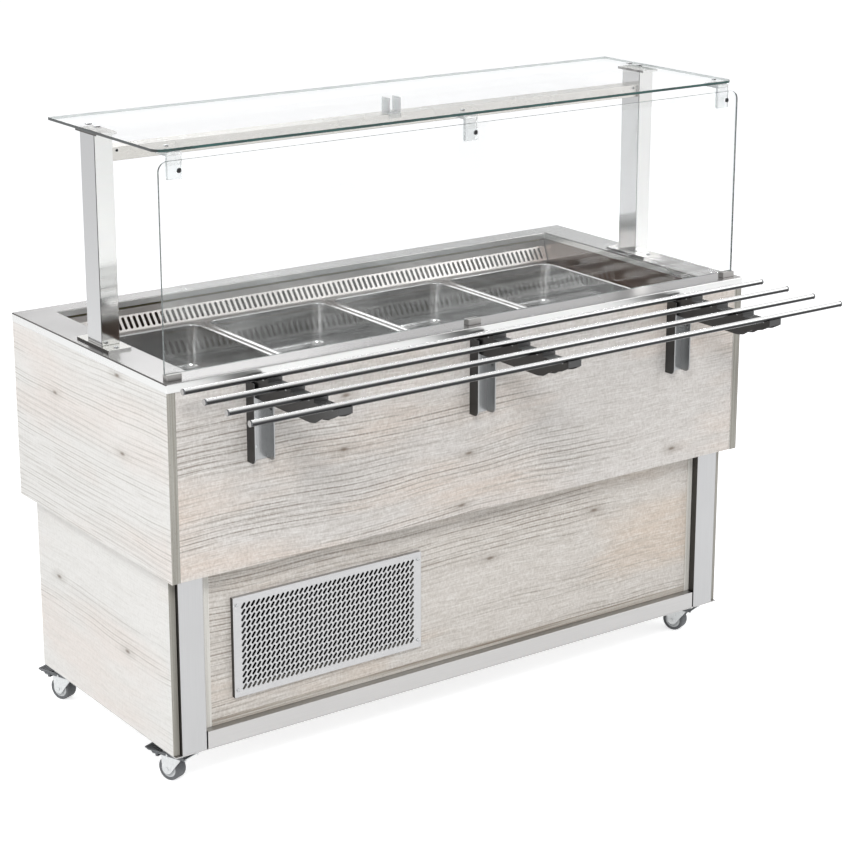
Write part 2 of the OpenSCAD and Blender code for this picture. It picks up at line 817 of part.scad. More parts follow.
// The swivelling fork with its bearing ring and axle, drawn trailing to -Y
module castor_fork(corner) {
    leg = [
        [17, 73], [-30, 73], [-castor_trail - 15, 52], [-castor_trail - 11, wheel_r - 4],
        [-castor_trail - 5, wheel_r - 10], [-castor_trail + 5, wheel_r - 10],
        [-castor_trail + 12, wheel_r - 3], [15, 60]
    ];
    pin_half = fork_in + fork_t + 1.5;
    color("#e4e6e6") castor(corner) {
        difference() {
            union() {
                for (side = [0, 1]) mirror([side, 0, 0]) side_profile(fork_in, fork_t, leg);
                block([-fork_in - fork_t, -30, 70.5], [fork_in + fork_t, 17, 73]);
                translate([0, 0, 72]) cylinder(r = 17, h = 4.5);
            }
            translate([0, 0, 60]) cylinder(r = 5 + running, h = 30);
        }
        rod_x([-pin_half, -castor_trail, wheel_r], 2 * pin_half, axle_r);
        for (side = [0, 1]) mirror([side, 0, 0])
            rod_x([fork_in + 1, pedal_pivot[0], pedal_pivot[1]], fork_t + 5, pedal_pin_r);
    }
}

// Tyre and hub as two solids on one axle
module castor_wheel(corner) {
    tread = wheel_w / 2;
    rim_r = wheel_r - tyre_t;
    color(grey_rubber) castor(corner) translate([0, -castor_trail, wheel_r]) rotate([0, 90, 0]) {
        rotate_extrude() polygon([
            [rim_r, -tread], [wheel_r - 2, -tread], [wheel_r, -tread + 3], [wheel_r, tread - 3],
            [wheel_r - 2, tread], [rim_r, tread]
        ]);
        difference() {
            translate([0, 0, -hub_w / 2]) cylinder(r = rim_r - 0.1, h = hub_w);
            translate([0, 0, -hub_w]) cylinder(r = axle_r + running, h = 2 * hub_w);
        }
    }
}

// A brake rocker outside the fork: a ribbed plate to press and a plain one to release behind the wheel,
// with the brake's shoe between them, and a short tab in front
module castor_pedal(corner) {
    inner = fork_in + fork_t + 2;
    outer = inner + 2.5;
    plate_z = 60.5;
    plate_t = 2.5;
    shoe_z = wheel_d - 1.5;
    color(dark_steel) castor(corner) {
        difference() {
            for (side = [0, 1]) mirror([side, 0, 0])
                block([inner, -60, plate_z - 3.5], [outer, 26, plate_z + plate_t]);
            rod_x([-outer - cut, pedal_pivot[0], pedal_pivot[1]], 2 * outer + 2 * cut, pedal_pin_r + running);
        }
        translate([0, 0, plate_z]) linear_extrude(plate_t)
            polygon([
                [-21, -50], [21, -50], [24, -58], [24, -68],
                [19, -80], [-19, -80], [-24, -68], [-24, -58]
            ]);
        for (y = [-56 : -6 : -74])
            block([-17, y - 1.2, plate_z + plate_t - 0.5], [17, y + 1.2, plate_z + plate_t + 1]);
        block([-inner - 0.5, -52, shoe_z], [inner + 0.5, -46, plate_z + 1]);
        translate([0, 0, shoe_z]) linear_extrude(2)
            polygon([[-15, -50], [15, -50], [15, -64], [10, -71], [-10, -71], [-15, -64]]);
        block([-outer, 22, plate_z], [outer, 28, plate_z + plate_t]);
    }
}

module castor_fork_front_left() { castor_fork(0); }
module castor_wheel_front_left() { castor_wheel(0); }
module castor_pedal_front_left() { castor_pedal(0); }
module castor_fork_front_right() { castor_fork(1); }
module castor_wheel_front_right() { castor_wheel(1); }
module castor_pedal_front_right() { castor_pedal(1); }
module castor_fork_back_left() { castor_fork(2); }
module castor_wheel_back_left() { castor_wheel(2); }
module castor_pedal_back_left() { castor_pedal(2); }
module castor_fork_back_right() { castor_fork(3); }
module castor_wheel_back_right() { castor_wheel(3); }
module castor_pedal_back_right() { castor_pedal(3); }

// ---- Cooling unit, drain and controls ----

// A hermetic pot on a foot plate and four rubber feet, with its terminal box
module compressor() {
    foot_h = 16;
    foot_w = 150;
    foot_l = 110;
    pot_h = 118;
    dome_h = 24;
    pot_z = chassis_z + foot_h + 2;
    color("#2e3134") placed() translate([compressor_place[0], compressor_place[1], 0]) {
        for (x = [-1, 1])
            for (y = [-1, 1])
                translate([x * (foot_w / 2 - 13), y * (foot_l / 2 - 13), chassis_z + gap])
                    cylinder(r = 9, h = foot_h - 2 * gap, $fn = small_fn);
        translate([0, 0, chassis_z + foot_h]) linear_extrude(3) rounded(foot_w, foot_l, 10);
        translate([0, 0, pot_z]) cylinder(r = pot_r, h = pot_h);
        translate([0, 0, pot_z + pot_h]) cylinder(r1 = pot_r, r2 = pot_r - 26, h = dome_h);
        block([pot_r - 12, -26, pot_z + 32], [pot_r + 26, 26, pot_z + 92]);
    }
}

// A finned coil behind the intake, its shroud, the fan motor on a cross bar and the hot gas pipe
module condenser() {
    shroud_y = coil_y + coil_d + gap;
    fins = 30;
    fin_pitch = 12;
    rear_y = fan_y - 10;
    bar_y = fan_y + 34;
    bar_t = 6;
    motor_r = 34;
    arm_x = fan_r + 14;
    pipe_y = coil_y + coil_d / 2;
    pipe_z = intake_z - 60;
    pipe_x = intake_x + coil_w / 2 + gap;
    centres = [for (i = [0 : fins - 1]) [(i - (fins - 1) / 2) * fin_pitch, 0]];
    color("#9da2a6") placed() {
        translate([intake_x, coil_y + coil_d, intake_z]) rotate([90, 0, 0])
            slotted_plate(coil_w, coil_h, coil_d, centres, coil_h - 20, fin_pitch - 3, 0);
        translate([intake_x, 0, intake_z]) {
            difference() {
                block([-coil_w / 2, shroud_y, -coil_h / 2], [coil_w / 2, rear_y, coil_h / 2]);
                block([-coil_w / 2 + sheet, shroud_y - cut, -coil_h / 2 + sheet],
                      [coil_w / 2 - sheet, rear_y - sheet, coil_h / 2 - sheet]);
                rod_y([0, rear_y - 2 * sheet, 0], 4 * sheet, fan_r + 4);
            }
            for (x = [-1, 1])
                block([x * arm_x - 5, rear_y - 1, -8], [x * arm_x + 5, bar_y + bar_t, 8]);
            block([-arm_x - 5, bar_y, -8], [arm_x + 5, bar_y + bar_t, 8]);
            rod_y([0, fan_y + 24, 0], 50, motor_r);
            rod_y([0, fan_y - 12, 0], 40, shaft_r);
        }
        rod_x([pipe_x, pipe_y, pipe_z], compressor_place[0] - pipe_x, refrigerant_r);
        translate([compressor_place[0], pipe_y, pipe_z]) sphere(r = refrigerant_r);
        rod_y([compressor_place[0], pipe_y, pipe_z],
              compressor_place[1] - pipe_y - pot_r - gap, refrigerant_r);
    }
}

module condenser_fan() {
    blades = 5;
    color("#3a3d40") placed() translate([intake_x, fan_y, intake_z]) difference() {
        union() {
            rod_y([0, -12, 0], 30, 22);
            for (i = [0 : blades - 1])
                rotate([0, i * 360 / blades, 0]) translate([0, 3, 0]) rotate([0, 0, 28])
                    block([-26, -1, 18], [26, 1, fan_r - 6]);
        }
        rod_y([0, -12 - cut, 0], 30 + 2 * cut, shaft_r + running);
    }
}

// A finned plate under the pans and the two pipes that come up to it
module evaporator() {
    pitch = 13;
    fins = floor((well_w - 320) / pitch);
    half = fins * pitch / 2;
    low = well_floor_z + 20;
    fin_h = 44;
    base_h = 8;
    front = well_front_y + evaporator_inset;
    depth = well_d - 2 * evaporator_inset;
    foot = 20;
    comb = concat(
        [[half, 0], [-half, 0]],
        [for (i = [0 : fins - 1]) each [
            [-half + i * pitch, fin_h], [-half + i * pitch + 3, fin_h],
            [-half + i * pitch + 3, base_h], [-half + (i + 1) * pitch, base_h]
        ]]
    );
    color("#b4b9bc") placed() {
        translate([0, front + depth, low]) rotate([90, 0, 0]) linear_extrude(depth) polygon(comb);
        for (x = [-1, 1])
            translate([x * (half - 30) - foot / 2, front + 10, well_floor_z + gap])
                cube([foot, depth - 20, low - well_floor_z - 2 * gap]);
    }
    color(copper) placed() for (side = [-1, 1]) {
        x = pipe_place[0] + side * 10;
        y = pipe_place[1];
        z = chassis_z + 126 + side * 12;
        translate([x, y, z]) cylinder(r = refrigerant_r, h = low - gap - z);
        translate([x, y, z]) sphere(r = refrigerant_r);
        rod_x([x, y, z], compressor_place[0] - x - pot_r - gap, refrigerant_r);
    }
}

// Drain tube from the well's floor to below the base plate, with a flange at the top and a cap
module drain_pipe() {
    low = chassis_z - 22;
    color(steel) placed() translate([drain_place[0], drain_place[1], 0]) {
        difference() {
            translate([0, 0, low]) cylinder(r = drain_r, h = well_floor_z - low + gap + sheet);
            translate([0, 0, low - cut]) cylinder(r = drain_r - 2, h = well_floor_z);
        }
        difference() {
            translate([0, 0, well_floor_z + gap]) cylinder(r = drain_r + 8, h = sheet);
            translate([0, 0, well_floor_z - cut]) cylinder(r = drain_r - 2, h = 10);
        }
    }
}

// Rear plate with the switch's bezel and the collar of the thermostat's spindle
module control_plate() {
    low_y = back_y - 1.2;
    face_y = back_y + 0.8;
    color("#d9dadb") placed() translate([control_x, 0, control_z]) difference() {
        union() {
            block([-control_w / 2, low_y, -control_h / 2], [control_w / 2, face_y, control_h / 2]);
            block([switch_x - 18, face_y - 0.5, -13], [switch_x + 18, face_y + 5, 13]);
            rod_y([knob_x, low_y - 10, 0], 12, 10);
        }
        block([switch_x - 13, low_y - cut, -8.5], [switch_x + 13, face_y + 6, 8.5]);
        rod_x([switch_x - 16, switch_y, 0], 32, switch_pin_r + running);
        rod_y([knob_x, low_y - 12, 0], 20, shaft_r + running);
    }
}

// Rocker with its two pivot stubs, drawn tilted to off
module rocker_switch() {
    half = 12.5;
    profile = [[-7, -6.5], [3.5, -6.5], [5.5, 0], [3.5, 6.5], [-7, 6.5]];
    color("#23262a") placed() translate([control_x, switch_y, control_z]) rotate([-6, 0, 0]) {
        side_profile(switch_x - half, 2 * half, profile);
        rod_x([switch_x - half - 2, 0, 0], 2 * half + 4, switch_pin_r);
    }
}

module thermostat_knob() {
    ribs = 12;
    knob_y = back_y + 1.5;
    color("#23262a") placed() translate([control_x + knob_x, 0, control_z]) {
        rod_y([0, knob_y, 0], 6, 20);
        rod_y([0, knob_y + 5, 0], knob_reach - 1.5 - 5, 15);
        for (i = [0 : ribs - 1])
            rotate([0, i * 360 / ribs, 0]) block([-1.5, knob_y + 5, 13], [1.5, back_y + knob_reach, 17]);
        rod_y([0, back_y - 12, 0], 14, shaft_r);
    }
}

// Appliance inlet: round body through the back panel, square flange, and a recess with three blades
module power_inlet() {
    body_y = lower_back_y - 30;
    face_y = lower_back_y + 3.3;
    half = 22;
    color("#23262a") placed() translate([inlet_place[0], 0, inlet_place[1]]) {
        difference() {
            union() {
                rod_y([0, body_y, 0], 31, inlet_r);
                block([-half, lower_back_y + gap, -half], [half, face_y, half]);
            }
            block([-12, lower_back_y - 16, -8], [12, face_y + cut, 8]);
        }
        for (x = [-7, 0, 7])
            block([x - 1, lower_back_y - 17, x == 0 ? -4 : -1], [x + 1, lower_back_y - 2, x == 0 ? 1 : 4]);
    }
}

base_plate();
bottom_rail();
body_posts();
lower_sides();
lower_front_panel();
front_panel_trims();
lower_back_panel();
intake_grille();
upper_sides();
upper_front_panel();
upper_back_panel();
upper_floor();
worktop();
well_liner();
insulation();
well_air_grille();
pan_supports();
uprights();
upright_plates();
light_beam();
led_lamp();
glass_shelf();
glass_screen();
glass_clamps();
glass_clips();
fixing_screws();
tray_brackets();
castor_plates();
compressor();
condenser();
condenser_fan();
evaporator();
drain_pipe();
control_plate();
rocker_switch();
thermostat_knob();
power_inlet();
tray_arms();
tray_tubes();
pan_full_left();
pan_two_third_left();
pan_third_left();
pan_two_third_right();
pan_third_right();
pan_full_right();
castor_fork_front_left();
castor_wheel_front_left();
castor_pedal_front_left();
castor_fork_front_right();
castor_wheel_front_right();
castor_pedal_front_right();
castor_fork_back_left();
castor_wheel_back_left();
castor_pedal_back_left();
castor_fork_back_right();
castor_wheel_back_right();
castor_pedal_back_right();
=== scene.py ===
"""Looks of a mobile refrigerated salad bar: whitewashed pine boards, satin and polished stainless steel,
clear glass on clear acrylic clamps, empty food pans, and grey-tyred castors."""

import json
from math import cos, radians, sin

import bpy
from mathutils import Matrix, Vector


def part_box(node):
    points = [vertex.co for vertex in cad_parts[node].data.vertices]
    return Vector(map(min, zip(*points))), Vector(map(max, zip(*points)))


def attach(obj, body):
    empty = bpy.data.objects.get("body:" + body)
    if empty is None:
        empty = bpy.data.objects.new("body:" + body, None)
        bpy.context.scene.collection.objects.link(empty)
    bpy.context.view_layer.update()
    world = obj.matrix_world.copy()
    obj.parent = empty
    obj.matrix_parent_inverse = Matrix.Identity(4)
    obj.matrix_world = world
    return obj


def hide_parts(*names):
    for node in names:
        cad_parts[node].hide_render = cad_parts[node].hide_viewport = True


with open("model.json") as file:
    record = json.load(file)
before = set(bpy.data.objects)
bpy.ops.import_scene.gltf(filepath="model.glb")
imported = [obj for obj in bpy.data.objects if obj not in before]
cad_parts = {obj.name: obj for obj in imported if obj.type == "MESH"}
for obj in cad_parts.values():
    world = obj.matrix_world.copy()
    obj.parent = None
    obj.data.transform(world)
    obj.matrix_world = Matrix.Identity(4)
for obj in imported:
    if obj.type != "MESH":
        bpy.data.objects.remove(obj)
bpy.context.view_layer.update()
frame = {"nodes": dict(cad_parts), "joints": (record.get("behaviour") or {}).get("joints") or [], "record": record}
nodes = frame["nodes"]
MM = 0.001
# At scale 1 the bands of a wave texture repeat every 314 mm
WAVE_MM = 314.0
CHALK = "#fbfaf7"
KNOT = "#75675a"
# The tray slide's brackets stand this far apart
BRACKET_PITCH = 536
# Screws above this height belong to the glass
GLASS_SCREWS_Z = 1.25
BODY_OF = {n: body for body, names in frame["record"]["behaviour"]["bodies"].items() for n in names}


# ---- Materials ----


def linear(code):
    """The linear colour of an sRGB hex value."""
    parts = [int(code[i : i + 2], 16) / 255 for i in (1, 3, 5)]
    return [c / 12.92 if c <= 0.04045 else ((c + 0.055) / 1.055) ** 2.4 for c in parts] + [1.0]


def add(tree, kind, links=None, **settings):
    """A shader node with its settings; links maps an input to a value or to another node's output."""
    node = tree.nodes.new("ShaderNode" + kind)
    for key, value in settings.items():
        setattr(node, key, value)
    for key, value in (links or {}).items():
        socket = node.inputs[key]
        if isinstance(value, bpy.types.NodeSocket):
            tree.links.new(value, socket)
        else:
            socket.default_value = value
    return node


def new_material(name, **fixed):
    """A material whose shader carries the values that are the same all over the surface."""
    made = bpy.data.materials.new(name)
    made.use_nodes = True
    shader = made.node_tree.nodes["Principled BSDF"]
    for key, value in fixed.items():
        shader.inputs[key.replace("_", " ").title().replace("Ior", "IOR")].default_value = value
    return made, made.node_tree, shader


def coordinates(tree, scale):
    """Object coordinates stretched by a scale for each axis."""
    place = add(tree, "TexCoord")
    return add(tree, "Mapping", {"Vector": place.outputs["Object"], "Scale": scale}).outputs["Vector"]


def stops(tree, factor, colours):
    """A colour ramp from a list of (position, colour)."""
    ramp = add(tree, "ValToRGB", {"Fac": factor})
    while len(ramp.color_ramp.elements) < len(colours):
        ramp.color_ramp.elements.new(0.5)
    for element, (position, colour) in zip(ramp.color_ramp.elements, colours):
        element.position = position
        element.color = colour
    return ramp.outputs["Color"]


def mix(tree, factor, a, b, blend="MIX"):
    """Two colours mixed by a factor."""
    node = add(tree, "Mix", data_type="RGBA", blend_type=blend)
    for index, value in ((0, factor), (6, a), (7, b)):
        if isinstance(value, bpy.types.NodeSocket):
            tree.links.new(value, node.inputs[index])
        else:
            node.inputs[index].default_value = value
    return node.outputs[2]


def bump(tree, shader, height, distance, strength=1.0):
    """A fine relief under the light."""
    node = add(tree, "Bump", {"Height": height, "Strength": strength, "Distance": distance})
    tree.links.new(node.outputs["Normal"], shader.inputs["Normal"])


def swap_axes(tree, along):
    """Object coordinates turned so that X runs along the grain and Z across it."""
    place = add(tree, "TexCoord")
    parts = add(tree, "SeparateXYZ", {"Vector": place.outputs["Object"]}).outputs
    order = {"X": ("X", "Y", "Z"), "Y": ("Y", "X", "Z"), "Z": ("Z", "Y", "X")}[along]
    return add(tree, "CombineXYZ", {axis: parts[source] for axis, source in zip("XYZ", order)}).outputs["Vector"]


def noise(tree, vector, scale, detail=3.0, rough=0.5, turn=None):
    """Noise over coordinates stretched by a scale for each axis, in features per metre."""
    settings = {"Vector": vector, "Scale": scale}
    if turn:
        settings["Rotation"] = turn
    stretched = add(tree, "Mapping", settings).outputs["Vector"]
    return add(tree, "TexNoise", {"Vector": stretched, "Scale": 1.0, "Detail": detail, "Roughness": rough}).outputs


def times(tree, a, b):
    """The product of two values."""
    return add(tree, "Math", {0: a, 1: b}, operation="MULTIPLY").outputs[0]


def mask(tree, value, start, end):
    """0 up to one level of a value and 1 from another, either way round."""
    return add(tree, "MapRange", {
        "Value": value, "From Min": start, "From Max": end, "To Min": 0.0, "To Max": 1.0}).outputs["Result"]


def growth_lines(tree, vector, spacing_mm, bend, thin):
    """Thin lines along X, unevenly bent and spaced: the growth rings of a flat-sawn board."""
    stretched = add(tree, "Mapping", {"Vector": vector, "Scale": (1.4, 1.0, WAVE_MM / spacing_mm)})
    waves = add(tree, "TexWave", {
        "Vector": stretched.outputs["Vector"], "Scale": 1.0, "Distortion": bend, "Detail": 3.0,
        "Detail Scale": 0.22, "Detail Roughness": 0.55}, wave_type="BANDS", bands_direction="Z")
    return mask(tree, waves.outputs["Fac"], 1.0 - thin, 1.0)


def whitewashed_pine(name, along, pale, warm, ashen, line, warm_from, line_depth, seed=0.0):
    """Pine-print laminate with a limed, sawn look. Pale ground with warm clouds about 300 mm long, ashen
    streaks, thin growth lines 6 to 12 mm apart that come and go in bands, a fine lengthwise grain, slanting
    saw ticks, and a few small brown knots."""
    made, tree, shader = new_material(name, roughness=0.62, specular_ior_level=0.3)
    start = swap_axes(tree, along)
    start = add(tree, "Mapping", {"Vector": start, "Location": (seed, seed, seed * 0.7)}).outputs["Vector"]
    sway = add(tree, "VectorMath", {0: noise(tree, start, (1.5, 1.0, 2.4), 2.0)["Color"], 1: (0.0, 0.0, 0.06)},
               operation="MULTIPLY").outputs[0]
    shifted = add(tree, "VectorMath", {0: start, 1: sway}, operation="ADD").outputs[0]
    clouds = noise(tree, shifted, (1.8, 1.0, 6.5), 3.0, 0.5)["Fac"]
    streaks = noise(tree, shifted, (4.0, 2.0, 85.0), 4.0, 0.65)["Fac"]
    bands = noise(tree, shifted, (0.9, 1.0, 8.0), 2.0, 0.5)["Fac"]
    reach = noise(tree, shifted, (6.0, 1.0, 90.0), 2.0, 0.5)["Fac"]
    grain = noise(tree, shifted, (24.0, 20.0, 420.0), 2.0, 0.6)["Fac"]
    ticks = noise(tree, start, (230.0, 80.0, 150.0), 1.0, 0.5, (0.0, radians(38), 0.0))["Fac"]
    ground = mix(tree, mask(tree, clouds, warm_from, warm_from + 0.16), linear(pale), linear(warm))
    ground = mix(tree, times(tree, mask(tree, streaks, 0.50, 0.74), 0.42), ground, linear(ashen))
    wide = times(tree, growth_lines(tree, shifted, 12.0, 7.0, 0.25), mask(tree, bands, 0.48, 0.57))
    fine = times(tree, growth_lines(tree, shifted, 6.5, 9.0, 0.32), mask(tree, bands, 0.44, 0.66))
    broken = mask(tree, reach, 0.34, 0.50)
    lined = mix(tree, times(tree, times(tree, wide, broken), line_depth), ground, linear(line))
    lined = mix(tree, times(tree, times(tree, fine, broken), line_depth * 0.65), lined, linear(line))
    grained = mix(tree, times(tree, mask(tree, grain, 0.54, 0.70), line_depth * 0.3), lined, linear(line))
    grained = mix(tree, times(tree, mask(tree, grain, 0.46, 0.32), line_depth * 0.4), grained, linear(CHALK))
    sawn = mix(tree, times(tree, mask(tree, ticks, 0.54, 0.70), line_depth * 0.2), grained, linear(line))
    sawn = mix(tree, times(tree, mask(tree, ticks, 0.46, 0.30), line_depth * 0.26), sawn, linear(CHALK))
    cells = add(tree, "TexVoronoi", {
        "Vector": add(tree, "Mapping", {"Vector": shifted, "Scale": (3.4, 0.0, 9.0),
                                        "Rotation": (radians(90), 0.0, 0.0)}).outputs["Vector"],
        "Scale": 1.0, "Randomness": 1.0}, voronoi_dimensions="2D").outputs
    chosen = mask(tree, add(tree, "SeparateColor", {"Color": cells["Color"]}).outputs["Red"], 0.78, 0.80)
    eye = times(tree, mask(tree, cells["Distance"], 0.045, 0.012), chosen)
    halo = times(tree, mask(tree, cells["Distance"], 0.15, 0.04), chosen)
    knotted = mix(tree, times(tree, halo, 0.30), sawn, linear(line))
    knotted = mix(tree, times(tree, eye, 0.8), knotted, linear(KNOT))
    tree.links.new(knotted, shader.inputs["Base Color"])
    bump(tree, shader, add(tree, "Math", {0: grain, 1: ticks}, operation="ADD").outputs[0], 0.0002, 0.35)
    return made


def pine_edge_strip(name, along, dark, middle, pale):
    """Glued-on edge strip: the same print, a shade greyer, with straight fine lines 2 to 4 mm apart."""
    made, tree, shader = new_material(name, roughness=0.6, specular_ior_level=0.35)
    lines = noise(tree, swap_axes(tree, along), (2.0, 260.0, 260.0), 4.0, 0.65)["Fac"]
    grains = noise(tree, swap_axes(tree, along), (260.0, 600.0, 600.0), 2.0, 0.6)["Fac"]
    colour = stops(tree, lines, [(0.32, linear(dark)), (0.5, linear(middle)), (0.68, linear(pale))])
    speckled_colour = mix(tree, times(tree, mask(tree, grains, 0.55, 0.72), 0.5), colour, linear(dark))
    tree.links.new(speckled_colour, shader.inputs["Base Color"])
    bump(tree, shader, lines, 0.0002, 0.4)
    return made


def satin_stainless(name, along, colour, shade, rough, line_mm=1.2):
    """Rolled stainless sheet, satin polished along one axis: faint straight lines and a soft shine.
    The real lines are a tenth of a millimetre apart; they are drawn about a millimetre wide to show."""
    made, tree, shader = new_material(name, metallic=1.0)
    start = swap_axes(tree, along)
    across = 1 / (line_mm * MM)
    lines = add(tree, "TexNoise", {
        "Vector": add(tree, "Mapping", {"Vector": start, "Scale": (6.0, across, across)}).outputs["Vector"],
        "Scale": 1.0, "Detail": 3.0, "Roughness": 0.7})
    clouds = add(tree, "TexNoise", {"Vector": coordinates(tree, (5.0, 5.0, 5.0)), "Scale": 1.0, "Detail": 3.0})
    base = mix(tree, lines.outputs["Fac"], linear(shade), linear(colour))
    tree.links.new(base, shader.inputs["Base Color"])
    spread = add(tree, "MapRange", {
        "Value": clouds.outputs["Fac"], "From Min": 0.3, "From Max": 0.7,
        "To Min": rough - 0.05, "To Max": rough + 0.06}).outputs["Result"]
    tree.links.new(spread, shader.inputs["Roughness"])
    bump(tree, shader, lines.outputs["Fac"], 0.00004, 0.5)
    return made


def tilt_painted_stainless(name, shades, rough=0.14):
    """Polished stainless with a painted reflection: its base colour is painted by the tilt of the face, from
    straight down (0) to straight up (1), for the floor side, the room and the lamps it mirrors, with very fine
    lengthwise polishing lines."""
    made, tree, shader = new_material(name, metallic=1.0)
    lines = add(tree, "TexNoise", {"Vector": coordinates(tree, (8.0, 900.0, 900.0)), "Scale": 1.0, "Detail": 2.0})
    tilt = add(tree, "SeparateXYZ", {"Vector": add(tree, "NewGeometry").outputs["Normal"]}).outputs["Z"]
    # Painted reflection and shade: the colour ramp follows the face's tilt
    body = stops(tree, mask(tree, tilt, -1.0, 1.0), [(place, linear(shade)) for place, shade in shades])
    tree.links.new(mix(tree, 0.12, body, lines.outputs["Color"], "SOFT_LIGHT"), shader.inputs["Base Color"])
    spread = add(tree, "MapRange", {
        "Value": lines.outputs["Fac"], "To Min": rough - 0.04, "To Max": rough + 0.06}).outputs["Result"]
    tree.links.new(spread, shader.inputs["Roughness"])
    return made


def speckled(name, colour, second, size_mm, rough, metallic=0.0, relief=0.00005, **fixed):
    """A moulded, cast or painted finish: two close shades in fine specks, with a light grain to the touch."""
    made, tree, shader = new_material(name, metallic=metallic, roughness=rough, **fixed)
    scale = 1 / (size_mm * MM)
    specks = add(tree, "TexNoise", {
        "Vector": coordinates(tree, (scale, scale, scale)), "Scale": 1.0, "Detail": 3.0, "Roughness": 0.6})
    shades = stops(tree, specks.outputs["Fac"], [(0.35, linear(colour)), (0.7, linear(second))])
    tree.links.new(shades, shader.inputs["Base Color"])
    bump(tree, shader, specks.outputs["Fac"], relief, 0.5)
    return made


def float_glass(name, colour="#eef8f5", seen=0.12):
    """Clear float glass: nearly all light goes straight through it, and the rest shows a faint shine with
    the unevenness of dust and wiping."""
    made, tree, shader = new_material(name, ior=1.5, transmission_weight=1.0, alpha=seen)
    shader.inputs["Base Color"].default_value = linear(colour)
    smears = noise(tree, coordinates(tree, (1.0, 1.0, 1.0)), (3.0, 12.0, 4.0), 4.0)["Fac"]
    spread = add(tree, "MapRange", {
        "Value": smears, "From Min": 0.4, "From Max": 0.8, "To Min": 0.01, "To Max": 0.05})
    tree.links.new(spread.outputs["Result"], shader.inputs["Roughness"])
    return made


def glass_edge(name, deep, pale):
    """The ground and polished edge of a glass pane, which gathers the green of the glass."""
    made, tree, shader = new_material(name, roughness=0.12, ior=1.5, specular_ior_level=0.7)
    streaks = noise(tree, coordinates(tree, (1.0, 1.0, 1.0)), (14.0, 14.0, 300.0))["Fac"]
    shades = stops(tree, streaks, [(0.35, linear(deep)), (0.7, linear(pale))])
    tree.links.new(shades, shader.inputs["Base Color"])
    return made


PINE_FRONT = whitewashed_pine("whitewashed_pine_front", "X", "#d5d0cb", "#dacdc2", "#c6c2bb", "#857b70", 0.5,
                              0.75)
PINE_LOW = whitewashed_pine("whitewashed_pine_low_front", "X", "#d2ccc5", "#d4c6b8", "#c2bdb5", "#83786c", 0.47,
                            0.75, 3.7)
PINE_SIDE = whitewashed_pine("whitewashed_pine_side", "Y", "#e8e6e2", "#e8e1db", "#d9d6d0", "#a19b92", 0.52, 0.42,
                             7.3)
EDGE_STRIP = pine_edge_strip("pine_edge_strip", "Z", "#7f7b72", "#9f9c94", "#b9b6ae")
TRIM_STRIP = pine_edge_strip("pine_trim_strip", "Z", "#bdb9b0", "#dcd9d2", "#eceae5")
FOOT_STRIP = pine_edge_strip("pine_trim_strip_lying", "X", "#7d6f62", "#b5aea4", "#d3cfc8")
TOP_STEEL = satin_stainless("satin_stainless_top", "X", "#a6a5a5", "#969595", 0.26)
# A lighter copy of the worktop's steel: painted light on its turned-down sides
BAND_STEEL_PAINTED_LIGHT = satin_stainless("satin_stainless_band_painted_light", "X", "#dededc", "#cfcfce", 0.30)
FACE_STEEL = satin_stainless("satin_stainless_face", "Z", "#b8b8b8", "#aaaaab", 0.36)
RAIL_STEEL = satin_stainless("satin_stainless_rail", "X", "#bfbebd", "#acabaa", 0.33)
BEAM_STEEL = satin_stainless("satin_stainless_beam", "X", "#d3d0cb", "#c4c1bc", 0.30)
# Painted shade: a dark copy of the satin steel for faces turned from the light
PAINTED_SHADE_STEEL = satin_stainless("painted_shade_stainless", "Z", "#5d5b59", "#4a4846", 0.36)
# The well's steel is painted a dark taupe: painted shade inside the well, also on the pan supports
WELL_STEEL_PAINTED_SHADE = satin_stainless("satin_stainless_well_painted_shade", "X", "#85776f", "#6a5e57", 0.30)
AIR_STEEL = satin_stainless("slotted_stainless_sheet", "X", "#cdc9c6", "#b9b5b2", 0.34)
PAN_STEEL = satin_stainless("pressed_stainless_pan", "Y", "#c3c3c3", "#a8a9a9", 0.20, 2.0)
GRILLE_STEEL = satin_stainless("perforated_stainless", "X", "#bfbfbf", "#b1b1b2", 0.38)
# A dark copy of the laser-cut stainless: painted shade for the arms' flanges and the brackets' left flanges
ARM_STEEL_PAINTED_SHADE = satin_stainless("laser_cut_stainless_painted_shade", "X", "#5c5c5c", "#454545", 0.32)
CLIP_STEEL = satin_stainless("folded_stainless_clip", "X", "#a9a7a5", "#8f8d8b", 0.30)
BRACKET_STEEL = satin_stainless("folded_stainless_bracket", "Z", "#a9aaaa", "#8c8d8e", 0.28)
# Tubes: a painted dark underside, a grey middle and a painted highlight along the top
TUBE_STEEL_PAINTED_SHADE = tilt_painted_stainless("polished_stainless_tube", (
    (0.0, "#5a5a5b"), (0.25, "#2b2b2c"), (0.52, "#343435"), (0.70, "#8a8b8b"), (0.86, "#ececec")))
# Uprights: faces turned up painted lighter than those turned sideways and down
POST_STEEL_PAINTED_BY_TILT = tilt_painted_stainless("polished_stainless_post", ((0.3, "#cfcfcf"), (0.6, "#e2e1de")), 0.09)
# A darker copy of the uprights' steel: painted shade for their side faces
POST_FLANK_PAINTED_SHADE = tilt_painted_stainless("polished_stainless_post_flank", ((0.3, "#a5a5a5"), (0.6, "#c6c6c6")), 0.09)
# Screws: faces turned down painted dark, faces turned up painted light
SCREW_STEEL_PAINTED_BY_TILT = tilt_painted_stainless("turned_stainless", ((0.2, "#55585b"), (0.7, "#d2d4d5")), 0.2)
